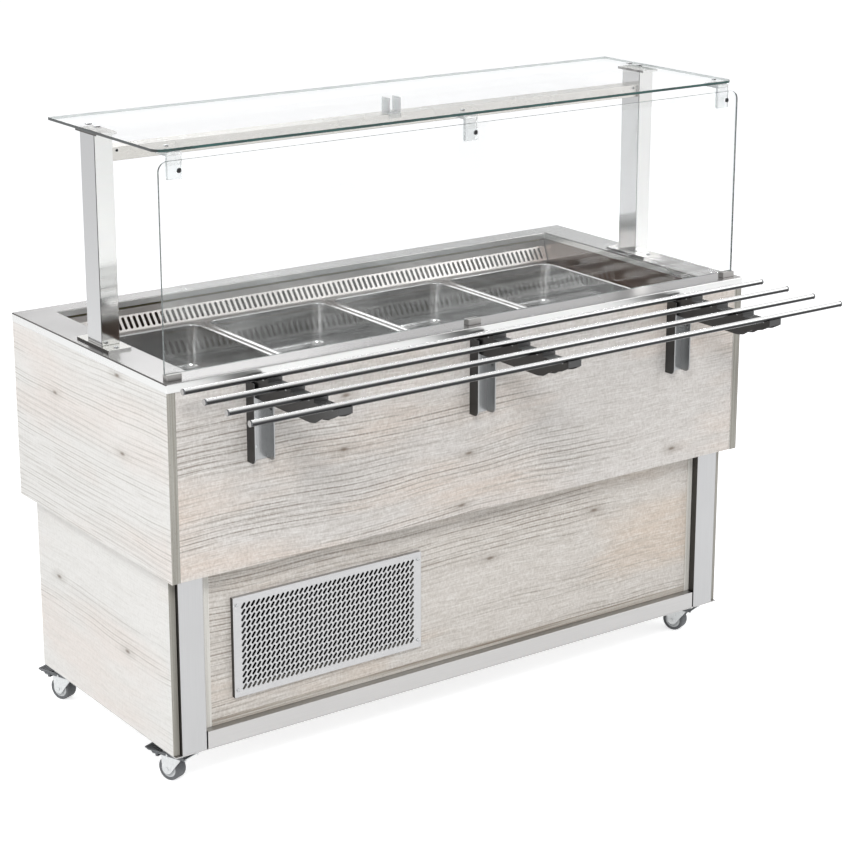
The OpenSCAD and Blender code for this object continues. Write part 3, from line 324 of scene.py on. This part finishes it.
# A dark steel for a painted dark reflection and painted shade
PAINTED_DARK_STEEL = speckled("painted_dark_reflection_and_shade", "#2a2a2b", "#1c1c1d", 1.0, 0.5, 0.6)
ZINC = speckled("bright_zinc_plate", "#d2d4d4", "#bcbebf", 3.0, 0.34, 0.85)
DARK_STEEL = speckled("dark_pressed_steel", "#6c6e70", "#46484a", 3.0, 0.42, 0.6)
TYRE = speckled("grey_rubber_tyre", "#6f7173", "#585a5c", 1.6, 0.7)
HUB = speckled("pale_grey_nylon", "#d9dbdb", "#c3c5c6", 1.6, 0.45)
GLASS = float_glass("float_glass", seen=0.12)
# The shelf glass is greyer and less clear than the screen: a painted grey reflection
SHELF_GLASS_PAINTED_REFLECTION = float_glass("float_glass_shelf_painted_reflection", "#bcc1c1", 0.2)
SHELF_EDGE = glass_edge("polished_shelf_edge", "#082623", "#1f5550")
# Darker and paler copies of the shelf's edge: painted shade and painted light
SHELF_END_PAINTED_SHADE = glass_edge("polished_shelf_end_painted_shade", "#141819", "#343c3b")
SHELF_BACK_PAINTED_LIGHT = glass_edge("polished_shelf_back_painted_light", "#c3cac9", "#dde2e1")
SCREEN_EDGE = glass_edge("polished_screen_edge", "#2e3435", "#7f8886")
ACRYLIC = float_glass("clear_cast_acrylic", "#d4d9da", 0.42)
# The clamps' sides are painted grey: a painted dark edge where the clear block bends the light
ACRYLIC_EDGE_PAINTED_DARK = float_glass("clear_acrylic_edge_painted_dark", "#737b7d", 0.7)
OPAL = speckled("opal_lamp_cover", "#f3f5f2", "#e9ebe8", 4.0, 0.5)
FOAM = speckled("rigid_foam", "#dcd3ad", "#cfc59b", 2.5, 0.9, relief=0.0004)
FINS = satin_stainless("rolled_aluminium_fins", "Z", "#a9adb0", "#8e9295", 0.4)
# The condenser is black for its paint and for the painted shade behind the grille's slots
COIL_AND_PAINTED_SHADE = speckled("black_coil_and_painted_shade", "#1b1c1e", "#101112", 2.0, 0.6)
ENAMEL = speckled("black_enamel", "#2c2e31", "#222427", 1.5, 0.35, coat_weight=0.3)
BLACK_PLASTIC = speckled("moulded_black_nylon", "#2d2f32", "#242629", 0.8, 0.5)

FINISH = {
    "base_plate": RAIL_STEEL, "bottom_rail": RAIL_STEEL, "body_posts": FACE_STEEL, "lower_sides": PINE_SIDE,
    "lower_front_panel": PINE_LOW, "front_panel_trims": TRIM_STRIP, "lower_back_panel": PINE_LOW,
    "intake_grille": GRILLE_STEEL, "upper_sides": PINE_SIDE, "upper_front_panel": PINE_FRONT,
    "upper_back_panel": PINE_FRONT, "upper_floor": PINE_LOW, "worktop": TOP_STEEL, "well_liner": WELL_STEEL_PAINTED_SHADE,
    "insulation": FOAM, "well_air_grille": AIR_STEEL, "pan_supports": WELL_STEEL_PAINTED_SHADE, "uprights": POST_STEEL_PAINTED_BY_TILT,
    "upright_plates": POST_STEEL_PAINTED_BY_TILT, "light_beam": BEAM_STEEL, "led_lamp": OPAL, "glass_shelf": SHELF_GLASS_PAINTED_REFLECTION,
    "glass_screen": GLASS, "glass_clamps": ACRYLIC, "glass_clips": CLIP_STEEL, "fixing_screws": SCREW_STEEL_PAINTED_BY_TILT,
    "tray_brackets": BRACKET_STEEL, "castor_plates": ZINC, "compressor": ENAMEL, "condenser": COIL_AND_PAINTED_SHADE,
    "evaporator": FINS, "drain_pipe": FACE_STEEL, "control_plate": TOP_STEEL, "power_inlet": BLACK_PLASTIC,
    "tray_arms": ARM_STEEL_PAINTED_SHADE, "tray_tubes": TUBE_STEEL_PAINTED_SHADE, "condenser_fan": BLACK_PLASTIC,
    "rocker_switch": BLACK_PLASTIC, "thermostat_knob": BLACK_PLASTIC,
}
for name in nodes:
    if name.startswith("pan_") and name != "pan_supports":
        FINISH[name] = PAN_STEEL
    elif name.startswith("castor_fork"):
        FINISH[name] = ZINC
    elif name.startswith("castor_wheel"):
        FINISH[name] = TYRE
    elif name.startswith("castor_pedal"):
        FINISH[name] = DARK_STEEL


def finish_with(piece, *materials):
    """Puts materials in a piece's slots."""
    piece.data.materials.clear()
    for material in materials:
        piece.data.materials.append(material)


for name, node in nodes.items():
    finish_with(node, FINISH[name])


# ---- Modelling helpers ----


def select_only(*pieces):
    """Selects some pieces and makes the last one active."""
    bpy.ops.object.select_all(action="DESELECT")
    for piece in pieces:
        piece.select_set(True)
    bpy.context.view_layer.objects.active = pieces[-1]


def edit(piece):
    """Edit mode on one piece, with all of it selected."""
    select_only(piece)
    bpy.ops.object.mode_set(mode="EDIT")
    bpy.ops.mesh.select_all(action="SELECT")


def done():
    """Back to object mode."""
    bpy.ops.object.mode_set(mode="OBJECT")


def modify(piece, kind, **settings):
    """Adds a modifier and applies it."""
    select_only(piece)
    modifier = piece.modifiers.new(kind.lower(), kind)
    for key, value in settings.items():
        setattr(modifier, key, value)
    bpy.ops.object.modifier_apply(modifier=modifier.name)


def smooth(piece, angle):
    """Shades a piece smooth across edges flatter than an angle in degrees."""
    select_only(piece)
    bpy.ops.object.shade_smooth_by_angle(angle=radians(angle))


def softened(name, edge_mm, segments=2, angle=30, merge_deg=1.0):
    """A copy of a node's shape with its flat faces made whole and its sharp edges broken."""
    source = nodes[name]
    piece = bpy.data.objects.new(name + "_finished", source.data.copy())
    bpy.context.scene.collection.objects.link(piece)
    edit(piece)
    bpy.ops.mesh.remove_doubles(threshold=1e-6)
    bpy.ops.mesh.dissolve_limited(angle_limit=radians(merge_deg), delimit={"NORMAL"})
    done()
    modify(piece, "BEVEL", width=edge_mm * MM, segments=segments, limit_method="ANGLE",
           angle_limit=radians(angle), use_clamp_overlap=True)
    smooth(piece, 40)
    modify(piece, "WEIGHTED_NORMAL", weight=100, keep_sharp=True)
    finish_with(piece, FINISH[name])
    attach(piece, BODY_OF[name])
    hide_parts(name)
    return piece


# ---- Pieces ----


def face_finish(piece, material, test):
    """Gives a second finish to the faces that pass a test."""
    piece.data.materials.append(material)
    for face in piece.data.polygons:
        if test(face):
            face.material_index = len(piece.data.materials) - 1


# Boards keep a hair-fine broken edge and show a glued strip on their narrow sides
for board, wide in (("lower_sides", 0), ("upper_sides", 0), ("lower_front_panel", 1), ("upper_front_panel", 1),
                    ("upper_back_panel", 1)):
    face_finish(softened(board, 0.6), EDGE_STRIP, lambda face: abs(face.normal[wide]) < 0.5)
# The strip along the panel's foot has its grain lying down
trim_low, trim_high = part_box("front_panel_trims")
foot_top, foot_end = trim_low[2] + 13.5 * MM, trim_high[0] - 16 * MM
face_finish(softened("front_panel_trims", 0.5), FOOT_STRIP,
            lambda face: face.center.z < foot_top and abs(face.center.x) < foot_end)
for folded in ("bottom_rail", "light_beam"):
    softened(folded, 1.0)
upright = softened("uprights", 3.4)
# The uprights' side faces get painted shade
face_finish(upright, POST_FLANK_PAINTED_SHADE, lambda face: abs(face.normal.x) > 0.8)
# Their front left corners get a painted dark reflection of the room
face_finish(upright, PAINTED_DARK_STEEL, lambda face: face.normal.x < -0.3 and face.normal.y < -0.3)
# The plates' left faces get painted shade
face_finish(softened("upright_plates", 0.8), PAINTED_SHADE_STEEL, lambda face: face.normal.x < -0.7)
# The posts' folded flanks lie in the shade of the side boards, and get painted shade
face_finish(softened("body_posts", 1.0), PAINTED_SHADE_STEEL, lambda face: abs(face.normal.x) > 0.7)
softened("glass_clips", 0.6)
# The screws in the clear clamps look dark through them, so their fronts get painted shade
face_finish(softened("fixing_screws", 0.6), PAINTED_DARK_STEEL,
            lambda face: face.normal.y < -0.7 and face.center.z > GLASS_SCREWS_Z)
# An arm's cut flanges get painted shade, its top keeps the lighter steel
face_finish(softened("tray_arms", 0.6), BRACKET_STEEL, lambda face: face.normal.z > 0.7)
# The outer face of each bracket's left flange is turned away from the light, so it gets painted shade
face_finish(softened("tray_brackets", 0.6), ARM_STEEL_PAINTED_SHADE,
            lambda face: face.normal.x < -0.7 and face.center.x / MM % BRACKET_PITCH > BRACKET_PITCH - 36)


def pane(name, normal_axis, edge):
    """A glass pane with ground edges: its two faces stay clear and its rim is the edge finish."""
    piece = softened(name, 0.8, 2, merge_deg=0.5)
    face_finish(piece, edge, lambda face: abs(face.normal[normal_axis]) <= 0.9)
    return piece


shelf = pane("glass_shelf", 2, SHELF_EDGE)
# The shelf's left end gets painted shade, its back and right edges painted light
face_finish(shelf, SHELF_END_PAINTED_SHADE, lambda face: face.normal.x < -0.6)
face_finish(shelf, SHELF_BACK_PAINTED_LIGHT, lambda face: face.normal.y > 0.6 or face.normal.x > 0.8)
pane("glass_screen", 1, SCREEN_EDGE)
# The clamps' sides get a painted dark edge
face_finish(softened("glass_clamps", 1.0), ACRYLIC_EDGE_PAINTED_DARK, lambda face: abs(face.normal.y) < 0.7)
# The tubes' ends are closed by bright domed plugs with a dark rim
tube_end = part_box("tray_tubes")[1][0] - 3.2 * MM
tubes = softened("tray_tubes", 0.9)
face_finish(tubes, DARK_STEEL, lambda face: abs(face.center.x) > tube_end)
face_finish(tubes, CLIP_STEEL, lambda face: abs(face.normal.x) > 0.8)
for control in ("rocker_switch", "thermostat_knob", "control_plate", "power_inlet"):
    softened(control, 0.6)


def keep(piece, name, *materials):
    """Names a finished piece, puts its place in its mesh, and lets it stand for its node."""
    select_only(piece)
    bpy.ops.object.transform_apply(location=True, rotation=True, scale=True)
    piece.name = name + "_finished"
    finish_with(piece, *materials)
    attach(piece, BODY_OF[name])
    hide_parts(name)
    return piece


def new_box(size, centre=(0, 0, 0)):
    """A box of a size around a point, to be cut or joined."""
    bpy.ops.object.select_all(action="DESELECT")
    bpy.ops.mesh.primitive_cube_add(size=1.0, location=centre)
    box = bpy.context.object
    box.scale = size
    bpy.ops.object.transform_apply(location=False, rotation=True, scale=True)
    return box


def round_cornered_loop(x_size, y_size, centre, corner, segments=6):
    """A flat rectangle with round corners, its face removed so that only the loop is left."""
    bpy.ops.object.select_all(action="DESELECT")
    bpy.ops.mesh.primitive_plane_add(size=1.0, location=centre)
    loop = bpy.context.object
    loop.scale = (x_size, y_size, 1.0)
    bpy.ops.object.transform_apply(location=True, rotation=True, scale=True)
    edit(loop)
    bpy.ops.mesh.bevel(offset=corner, segments=segments, affect="VERTICES")
    bpy.ops.mesh.select_all(action="SELECT")
    bpy.ops.mesh.delete(type="ONLY_FACE")
    done()
    return loop


def step_loop(centre, drop, x_scale, y_scale):
    """Extrudes the selected loop down and draws it in or out."""
    bpy.ops.mesh.extrude_region_move(TRANSFORM_OT_translate={"value": (0, 0, -drop)})
    bpy.ops.transform.resize(value=(x_scale, y_scale, 1.0), center_override=centre)


def pick(piece, test):
    """Edit mode with just the vertices that pass a test selected, and the edges between them."""
    select_only(piece)
    for vertex in piece.data.vertices:
        vertex.select = test(vertex.co)
    for edge in piece.data.edges:
        edge.select = all(piece.data.vertices[i].select for i in edge.vertices)
    for face in piece.data.polygons:
        face.select = False
    bpy.context.tool_settings.mesh_select_mode = (False, True, False)
    bpy.ops.object.mode_set(mode="EDIT")


def folded_worktop():
    """One sheet: a flat frame round the well, folded down outside and into the well, its folds rounded."""
    low, high = (Vector(corner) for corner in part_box("worktop"))
    well_low, well_high = (Vector(corner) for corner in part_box("well_liner"))
    sheet, lip = 2 * MM, 14 * MM
    outer_size = (high.x - low.x, high.y - low.y)
    inner_size = (well_high.x - well_low.x - 2 * sheet, well_high.y - well_low.y - 2 * sheet)
    outer_centre = ((low.x + high.x) / 2, (low.y + high.y) / 2, high.z)
    inner_centre = ((well_low.x + well_high.x) / 2, (well_low.y + well_high.y) / 2, high.z)
    outer_loop = round_cornered_loop(*outer_size, outer_centre, 2.5 * MM)
    inner_loop = round_cornered_loop(*inner_size, inner_centre, 1.5 * MM)
    select_only(inner_loop, outer_loop)
    bpy.ops.object.join()
    top = bpy.context.object
    edit(top)
    bpy.ops.mesh.bridge_edge_loops()
    done()
    inside = [size / 2 + MM for size in inner_size]

    def in_well(co):
        return abs(co.x - inner_centre[0]) < inside[0] and abs(co.y - inner_centre[1]) < inside[1]

    pick(top, in_well)
    bpy.ops.mesh.extrude_region_move(TRANSFORM_OT_translate={"value": (0, 0, -lip)})
    done()
    pick(top, lambda co: not in_well(co))
    bpy.ops.mesh.extrude_region_move(TRANSFORM_OT_translate={"value": (0, 0, low.z - high.z)})
    bpy.ops.mesh.select_all(action="SELECT")
    bpy.ops.mesh.normals_make_consistent(inside=False)
    done()
    if sum(face.normal.z * face.area for face in top.data.polygons) < 0:
        top.data.flip_normals()
    modify(top, "BEVEL", width=2.4 * MM, segments=3, limit_method="ANGLE", angle_limit=radians(60))
    modify(top, "SOLIDIFY", thickness=sheet, offset=-1.0, use_even_offset=True)
    smooth(top, 50)
    modify(top, "WEIGHTED_NORMAL", weight=100, keep_sharp=True)
    keep(top, "worktop", TOP_STEEL)
    # The worktop's turned-down sides get painted light
    face_finish(top, BAND_STEEL_PAINTED_LIGHT, lambda face: abs(face.normal.z) < 0.5)
    # The fold along the left end gets a painted dark reflection of the room
    face_finish(top, PAINTED_SHADE_STEEL, lambda face: face.normal.x < -0.2 and 0.2 < face.normal.z < 0.98)


folded_worktop()


def food_pan(name):
    """A deep-drawn pan: flat rim with a turned-down edge, a soft lip, drawn-in walls and a round foot."""
    low, high = (Vector(corner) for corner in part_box(name))
    centre = ((low.x + high.x) / 2, (low.y + high.y) / 2, high.z)
    outer = (high.x - low.x, high.y - low.y)
    rim, lip, draw, foot, thick = 13 * MM, 3 * MM, 3.5 * MM, 14 * MM, 0.9 * MM
    mouth = [size - 2 * rim + 2 * lip for size in outer]
    rim_loop = round_cornered_loop(outer[0] - 2 * MM, outer[1] - 2 * MM, centre, 11 * MM)
    mouth_loop = round_cornered_loop(mouth[0], mouth[1], centre, 26 * MM)
    select_only(rim_loop, mouth_loop)
    bpy.ops.object.join()
    pan = bpy.context.object
    edit(pan)
    bpy.ops.mesh.bridge_edge_loops()
    bpy.ops.mesh.select_all(action="DESELECT")
    done()
    inside = [size / 2 + MM for size in mouth]
    pick(pan, lambda co: abs(co.x - centre[0]) < inside[0] and abs(co.y - centre[1]) < inside[1])
    size = list(mouth)

    def draw_in(drop, amount):
        scales = [(size[i] - 2 * amount) / size[i] for i in (0, 1)]
        step_loop(centre, drop, *scales)
        for i in (0, 1):
            size[i] -= 2 * amount

    turns = 4
    for k in range(turns):
        a0, a1 = (radians(90) * t / turns for t in (k, k + 1))
        draw_in(lip * (cos(a0) - cos(a1)), lip * (sin(a1) - sin(a0)))
    draw_in(high.z - low.z - lip - foot - thick, draw)
    for k in range(turns):
        a0, a1 = (radians(90) * t / turns for t in (k, k + 1))
        draw_in(foot * (sin(a1) - sin(a0)), foot * (cos(a0) - cos(a1)))
    bpy.ops.mesh.edge_face_add()
    bpy.ops.mesh.inset(thickness=12 * MM, depth=-0.4 * MM)
    done()
    pick(pan, lambda co: co.z > high.z - 0.1 * MM and (
        abs(co.x - centre[0]) > inside[0] + MM or abs(co.y - centre[1]) > inside[1] + MM))
    # The rim's edge turns down in two steps
    flat, turned = ([length - inward * MM for length in outer] for inward in (2, 0.6))
    step_loop(centre, 0.6 * MM, turned[0] / flat[0], turned[1] / flat[1])
    step_loop(centre, 1.2 * MM, outer[0] / turned[0], outer[1] / turned[1])
    bpy.ops.mesh.select_all(action="SELECT")
    bpy.ops.mesh.normals_make_consistent(inside=False)
    done()
    if sum(face.normal.z * face.area for face in pan.data.polygons) < 0:
        pan.data.flip_normals()
    modify(pan, "SOLIDIFY", thickness=thick, offset=-1.0)
    smooth(pan, 50)
    return keep(pan, name, PAN_STEEL)


for name in [n for n in nodes if n.startswith("pan_") and n != "pan_supports"]:
    food_pan(name)


def cutter_slot(size, lean):
    """A leaning prism with round ends, long enough to cut one slot through the plate."""
    slot = new_box(size)
    edit(slot)
    bpy.ops.mesh.select_all(action="DESELECT")
    done()
    for edge in slot.data.edges:
        a, b = (slot.data.vertices[i].co for i in edge.vertices)
        edge.select = abs((a - b).normalized().y) > 0.9
    bpy.context.tool_settings.mesh_select_mode = (False, True, False)
    bpy.ops.object.mode_set(mode="EDIT")
    bpy.ops.mesh.bevel(offset=size[0] * 0.49, segments=5)
    done()
    slot.rotation_euler = (0, radians(lean), 0)
    bpy.ops.object.transform_apply(location=True, rotation=True, scale=True)
    return slot


def air_intake_plate():
    """A shallow folded cover with a field of 37 by 14 leaning slots, each with round ends."""
    low, high = (Vector(corner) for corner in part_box("intake_grille"))
    columns, rows, pitch_x, pitch_z, sheet = 37, 14, 11.4 * MM, 13.4 * MM, 0.9 * MM
    cell = new_box((pitch_x, sheet, pitch_z))
    slot = cutter_slot((5.6 * MM, 4 * MM, 14.2 * MM), 37)
    modify(cell, "BOOLEAN", operation="DIFFERENCE", solver="EXACT", object=slot)
    bpy.data.objects.remove(slot)
    # The cell's own four sides go, so that neighbours join into one sheet
    for face in cell.data.polygons:
        face.select = abs(abs(face.center.x) - pitch_x / 2) < 0.01 * MM or (
            abs(abs(face.center.z) - pitch_z / 2) < 0.01 * MM)
    bpy.context.tool_settings.mesh_select_mode = (False, False, True)
    bpy.ops.object.mode_set(mode="EDIT")
    bpy.ops.mesh.delete(type="FACE")
    done()
    for axis, count, pitch in ((0, columns, pitch_x), (2, rows, pitch_z)):
        offset = [0.0, 0.0, 0.0]
        offset[axis] = pitch
        modify(cell, "ARRAY", count=count, use_relative_offset=False, use_constant_offset=True,
               constant_offset_displace=offset, use_merge_vertices=True, merge_threshold=0.01 * MM)
    middle = (low + high) / 2
    cell.location = (
        middle.x - (columns - 1) / 2 * pitch_x, low.y + sheet / 2, middle.z - (rows - 1) / 2 * pitch_z)
    half_x, half_z = columns * pitch_x / 2, rows * pitch_z / 2
    # The plain border round the slots, and the fold round the border
    bars = []
    for x0, x1, y1, z0, z1 in (
            (low.x, middle.x - half_x, low.y + sheet, low.z, high.z),
            (middle.x + half_x, high.x, low.y + sheet, low.z, high.z),
            (middle.x - half_x, middle.x + half_x, low.y + sheet, low.z, middle.z - half_z),
            (middle.x - half_x, middle.x + half_x, low.y + sheet, middle.z + half_z, high.z),
            (low.x, low.x + sheet, high.y, low.z, high.z), (high.x - sheet, high.x, high.y, low.z, high.z),
            (low.x + sheet, high.x - sheet, high.y, low.z, low.z + sheet),
            (low.x + sheet, high.x - sheet, high.y, high.z - sheet, high.z)):
        y0 = low.y + (sheet if y1 == high.y else 0)
        bars.append(new_box((x1 - x0, y1 - y0, z1 - z0), ((x0 + x1) / 2, (y0 + y1) / 2, (z0 + z1) / 2)))
    select_only(*bars, cell)
    bpy.ops.object.join()
    # The plate's left fold gets painted shade on its outer face
    face_finish(keep(cell, "intake_grille", GRILLE_STEEL), PAINTED_SHADE_STEEL, lambda face: face.normal.x < -0.9 and (
        face.center.x < low.x + 0.1 * MM))


air_intake_plate()


def joint_named(name):
    return next(joint for joint in frame["joints"] if joint["name"] == name)


def castor_wheel(corner):
    """A soft grey tyre with round shoulders on a pale hub with a raised boss."""
    name = "castor_wheel_" + corner
    joint = joint_named("roll_" + corner)
    centre, axle = Vector(joint["pos_m"]), Vector(joint["axis"])
    radius, width, rim, shoulder = centre.z, 27 * MM, 19 * MM, 4 * MM
    bpy.ops.object.select_all(action="DESELECT")
    bpy.ops.mesh.primitive_cylinder_add(vertices=56, radius=radius, depth=width, location=(0, 0, 0))
    wheel = bpy.context.object
    edit(wheel)
    bpy.ops.mesh.select_all(action="DESELECT")
    done()
    for face in wheel.data.polygons:
        face.select = abs(face.normal.z) > 0.9
    bpy.context.tool_settings.mesh_select_mode = (False, False, True)
    bpy.ops.object.mode_set(mode="EDIT")
    bpy.ops.mesh.bevel(offset=shoulder, segments=5, profile=0.6)
    done()
    for face in wheel.data.polygons:
        face.select = abs(face.normal.z) > 0.99 and face.center.xy.length < MM
    bpy.ops.object.mode_set(mode="EDIT")
    # Inwards from the tyre: the seam, the hub's rounded rim, its dish, and the raised boss
    bpy.ops.mesh.inset(thickness=radius - shoulder - rim, depth=0)
    for inward_mm, out_mm in ((0.7, -1.2), (2.0, 1.0), (1.2, 0), (1.5, -2.4), (4.0, 0), (1.2, 2.4)):
        bpy.ops.mesh.inset(thickness=inward_mm * MM, depth=out_mm * MM)
    done()
    smooth(wheel, 30)
    across = Vector((0, 0, 1)).rotation_difference(axle).to_matrix().to_4x4()
    wheel.data.transform(Matrix.Translation(centre) @ across)
    keep(wheel, name, TYRE, HUB)
    for face in wheel.data.polygons:
        off = face.center - centre
        face.material_index = 1 if (off - axle * off.dot(axle)).length < rim - 0.5 * MM else 0


for corner in ("front_left", "front_right", "back_left", "back_right"):
    castor_wheel(corner)
    softened("castor_fork_" + corner, 0.8, 2, 25)
    # The low plate that releases the brake and the short tab ahead are bright, the rest of the pedal dark
    swivel, axle = (Vector(joint_named(kind + corner)["pos_m"]).xy for kind in ("swivel_", "roll_"))
    ahead = (swivel - axle).normalized()
    face_finish(softened("castor_pedal_" + corner, 0.5), ZINC,
                lambda face: face.center.z < 53 * MM or (face.center.xy - swivel).dot(ahead) > 8 * MM)


# ---- Stage, light and camera ----


def seen_directly(tree):
    """1 for what the camera, a mirror or a clear pane sees of the surroundings, else 0."""
    path = add(tree, "LightPath").outputs
    either = add(tree, "Math", {0: path["Is Camera Ray"], 1: path["Is Transmission Ray"]}, operation="MAXIMUM")
    return add(tree, "Math", {0: either.outputs[0], 1: path["Is Glossy Ray"]}, operation="MAXIMUM").outputs[0]


def stage_floor():
    """A wide pale floor that shows as white to the camera and keeps the object's shadow."""
    bpy.ops.object.select_all(action="DESELECT")
    bpy.ops.mesh.primitive_plane_add(size=40.0, location=(0, 0, 0))
    floor = bpy.context.object
    floor.name = "studio_floor"
    made, tree, shader = new_material("studio_floor", roughness=0.9, specular_ior_level=0.1)
    shader.inputs["Base Color"].default_value = linear("#f4f4f4")
    shader.inputs["Emission Color"].default_value = linear("#ffffff")
    tree.links.new(times(tree, seen_directly(tree), 0.6), shader.inputs["Emission Strength"])
    finish_with(floor, made)


def lamp(name, size, energy, place, aim):
    """A soft area lamp aimed at a point."""
    data = bpy.data.lights.new(name, "AREA")
    data.shape = "RECTANGLE"
    data.size, data.size_y = size
    data.energy = energy
    light = bpy.data.objects.new(name, data)
    light.location = place
    light.rotation_euler = (Vector(aim) - Vector(place)).to_track_quat("-Z", "Y").to_euler()
    bpy.context.scene.collection.objects.link(light)


def world_light():
    """A pale studio room; the camera, mirrors and glass see it as white."""
    world = bpy.data.worlds.new("studio")
    bpy.context.scene.world = world
    world.use_nodes = True
    tree = world.node_tree
    background = tree.nodes["Background"]
    seen = seen_directly(tree)
    tree.links.new(mix(tree, seen, linear("#e9ebee"), linear("#ffffff")), background.inputs["Color"])
    strength = add(tree, "MapRange", {"Value": seen, "To Min": 0.6, "To Max": 1.0})
    tree.links.new(strength.outputs["Result"], background.inputs["Strength"])


def photo_camera():
    """The photograph's viewpoint: from the front left and above, looking down a little."""
    image_px = 850
    focal_px = 2275.0
    sensor_mm = 36.0
    data = bpy.data.cameras.new("photo_camera")
    data.sensor_width = sensor_mm
    data.lens = focal_px / image_px * sensor_mm
    data.shift_y = -0.1
    camera = bpy.data.objects.new("photo_camera", data)
    camera.location = (-2.711, -3.7945, 2.076)
    camera.rotation_euler = (radians(90 - 15.37), 0, radians(-35.49))
    bpy.context.scene.collection.objects.link(camera)
    bpy.context.scene.camera = camera


stage_floor()
lamp("key", (1.5, 1.2), 105, (-2.4, -3.2, 3.6), (0, 0, 0.6))
lamp("left", (2.2, 1.8), 30, (-3.8, 0.8, 2.2), (0, 0, 0.6))
lamp("fill", (2.5, 2.5), 40, (3.2, -2.4, 2.4), (0, 0, 0.6))
lamp("back", (3.0, 1.5), 35, (0.5, 3.4, 3.0), (0, 0, 0.8))
world_light()
photo_camera()
bpy.context.scene.view_settings.view_transform = "Standard"
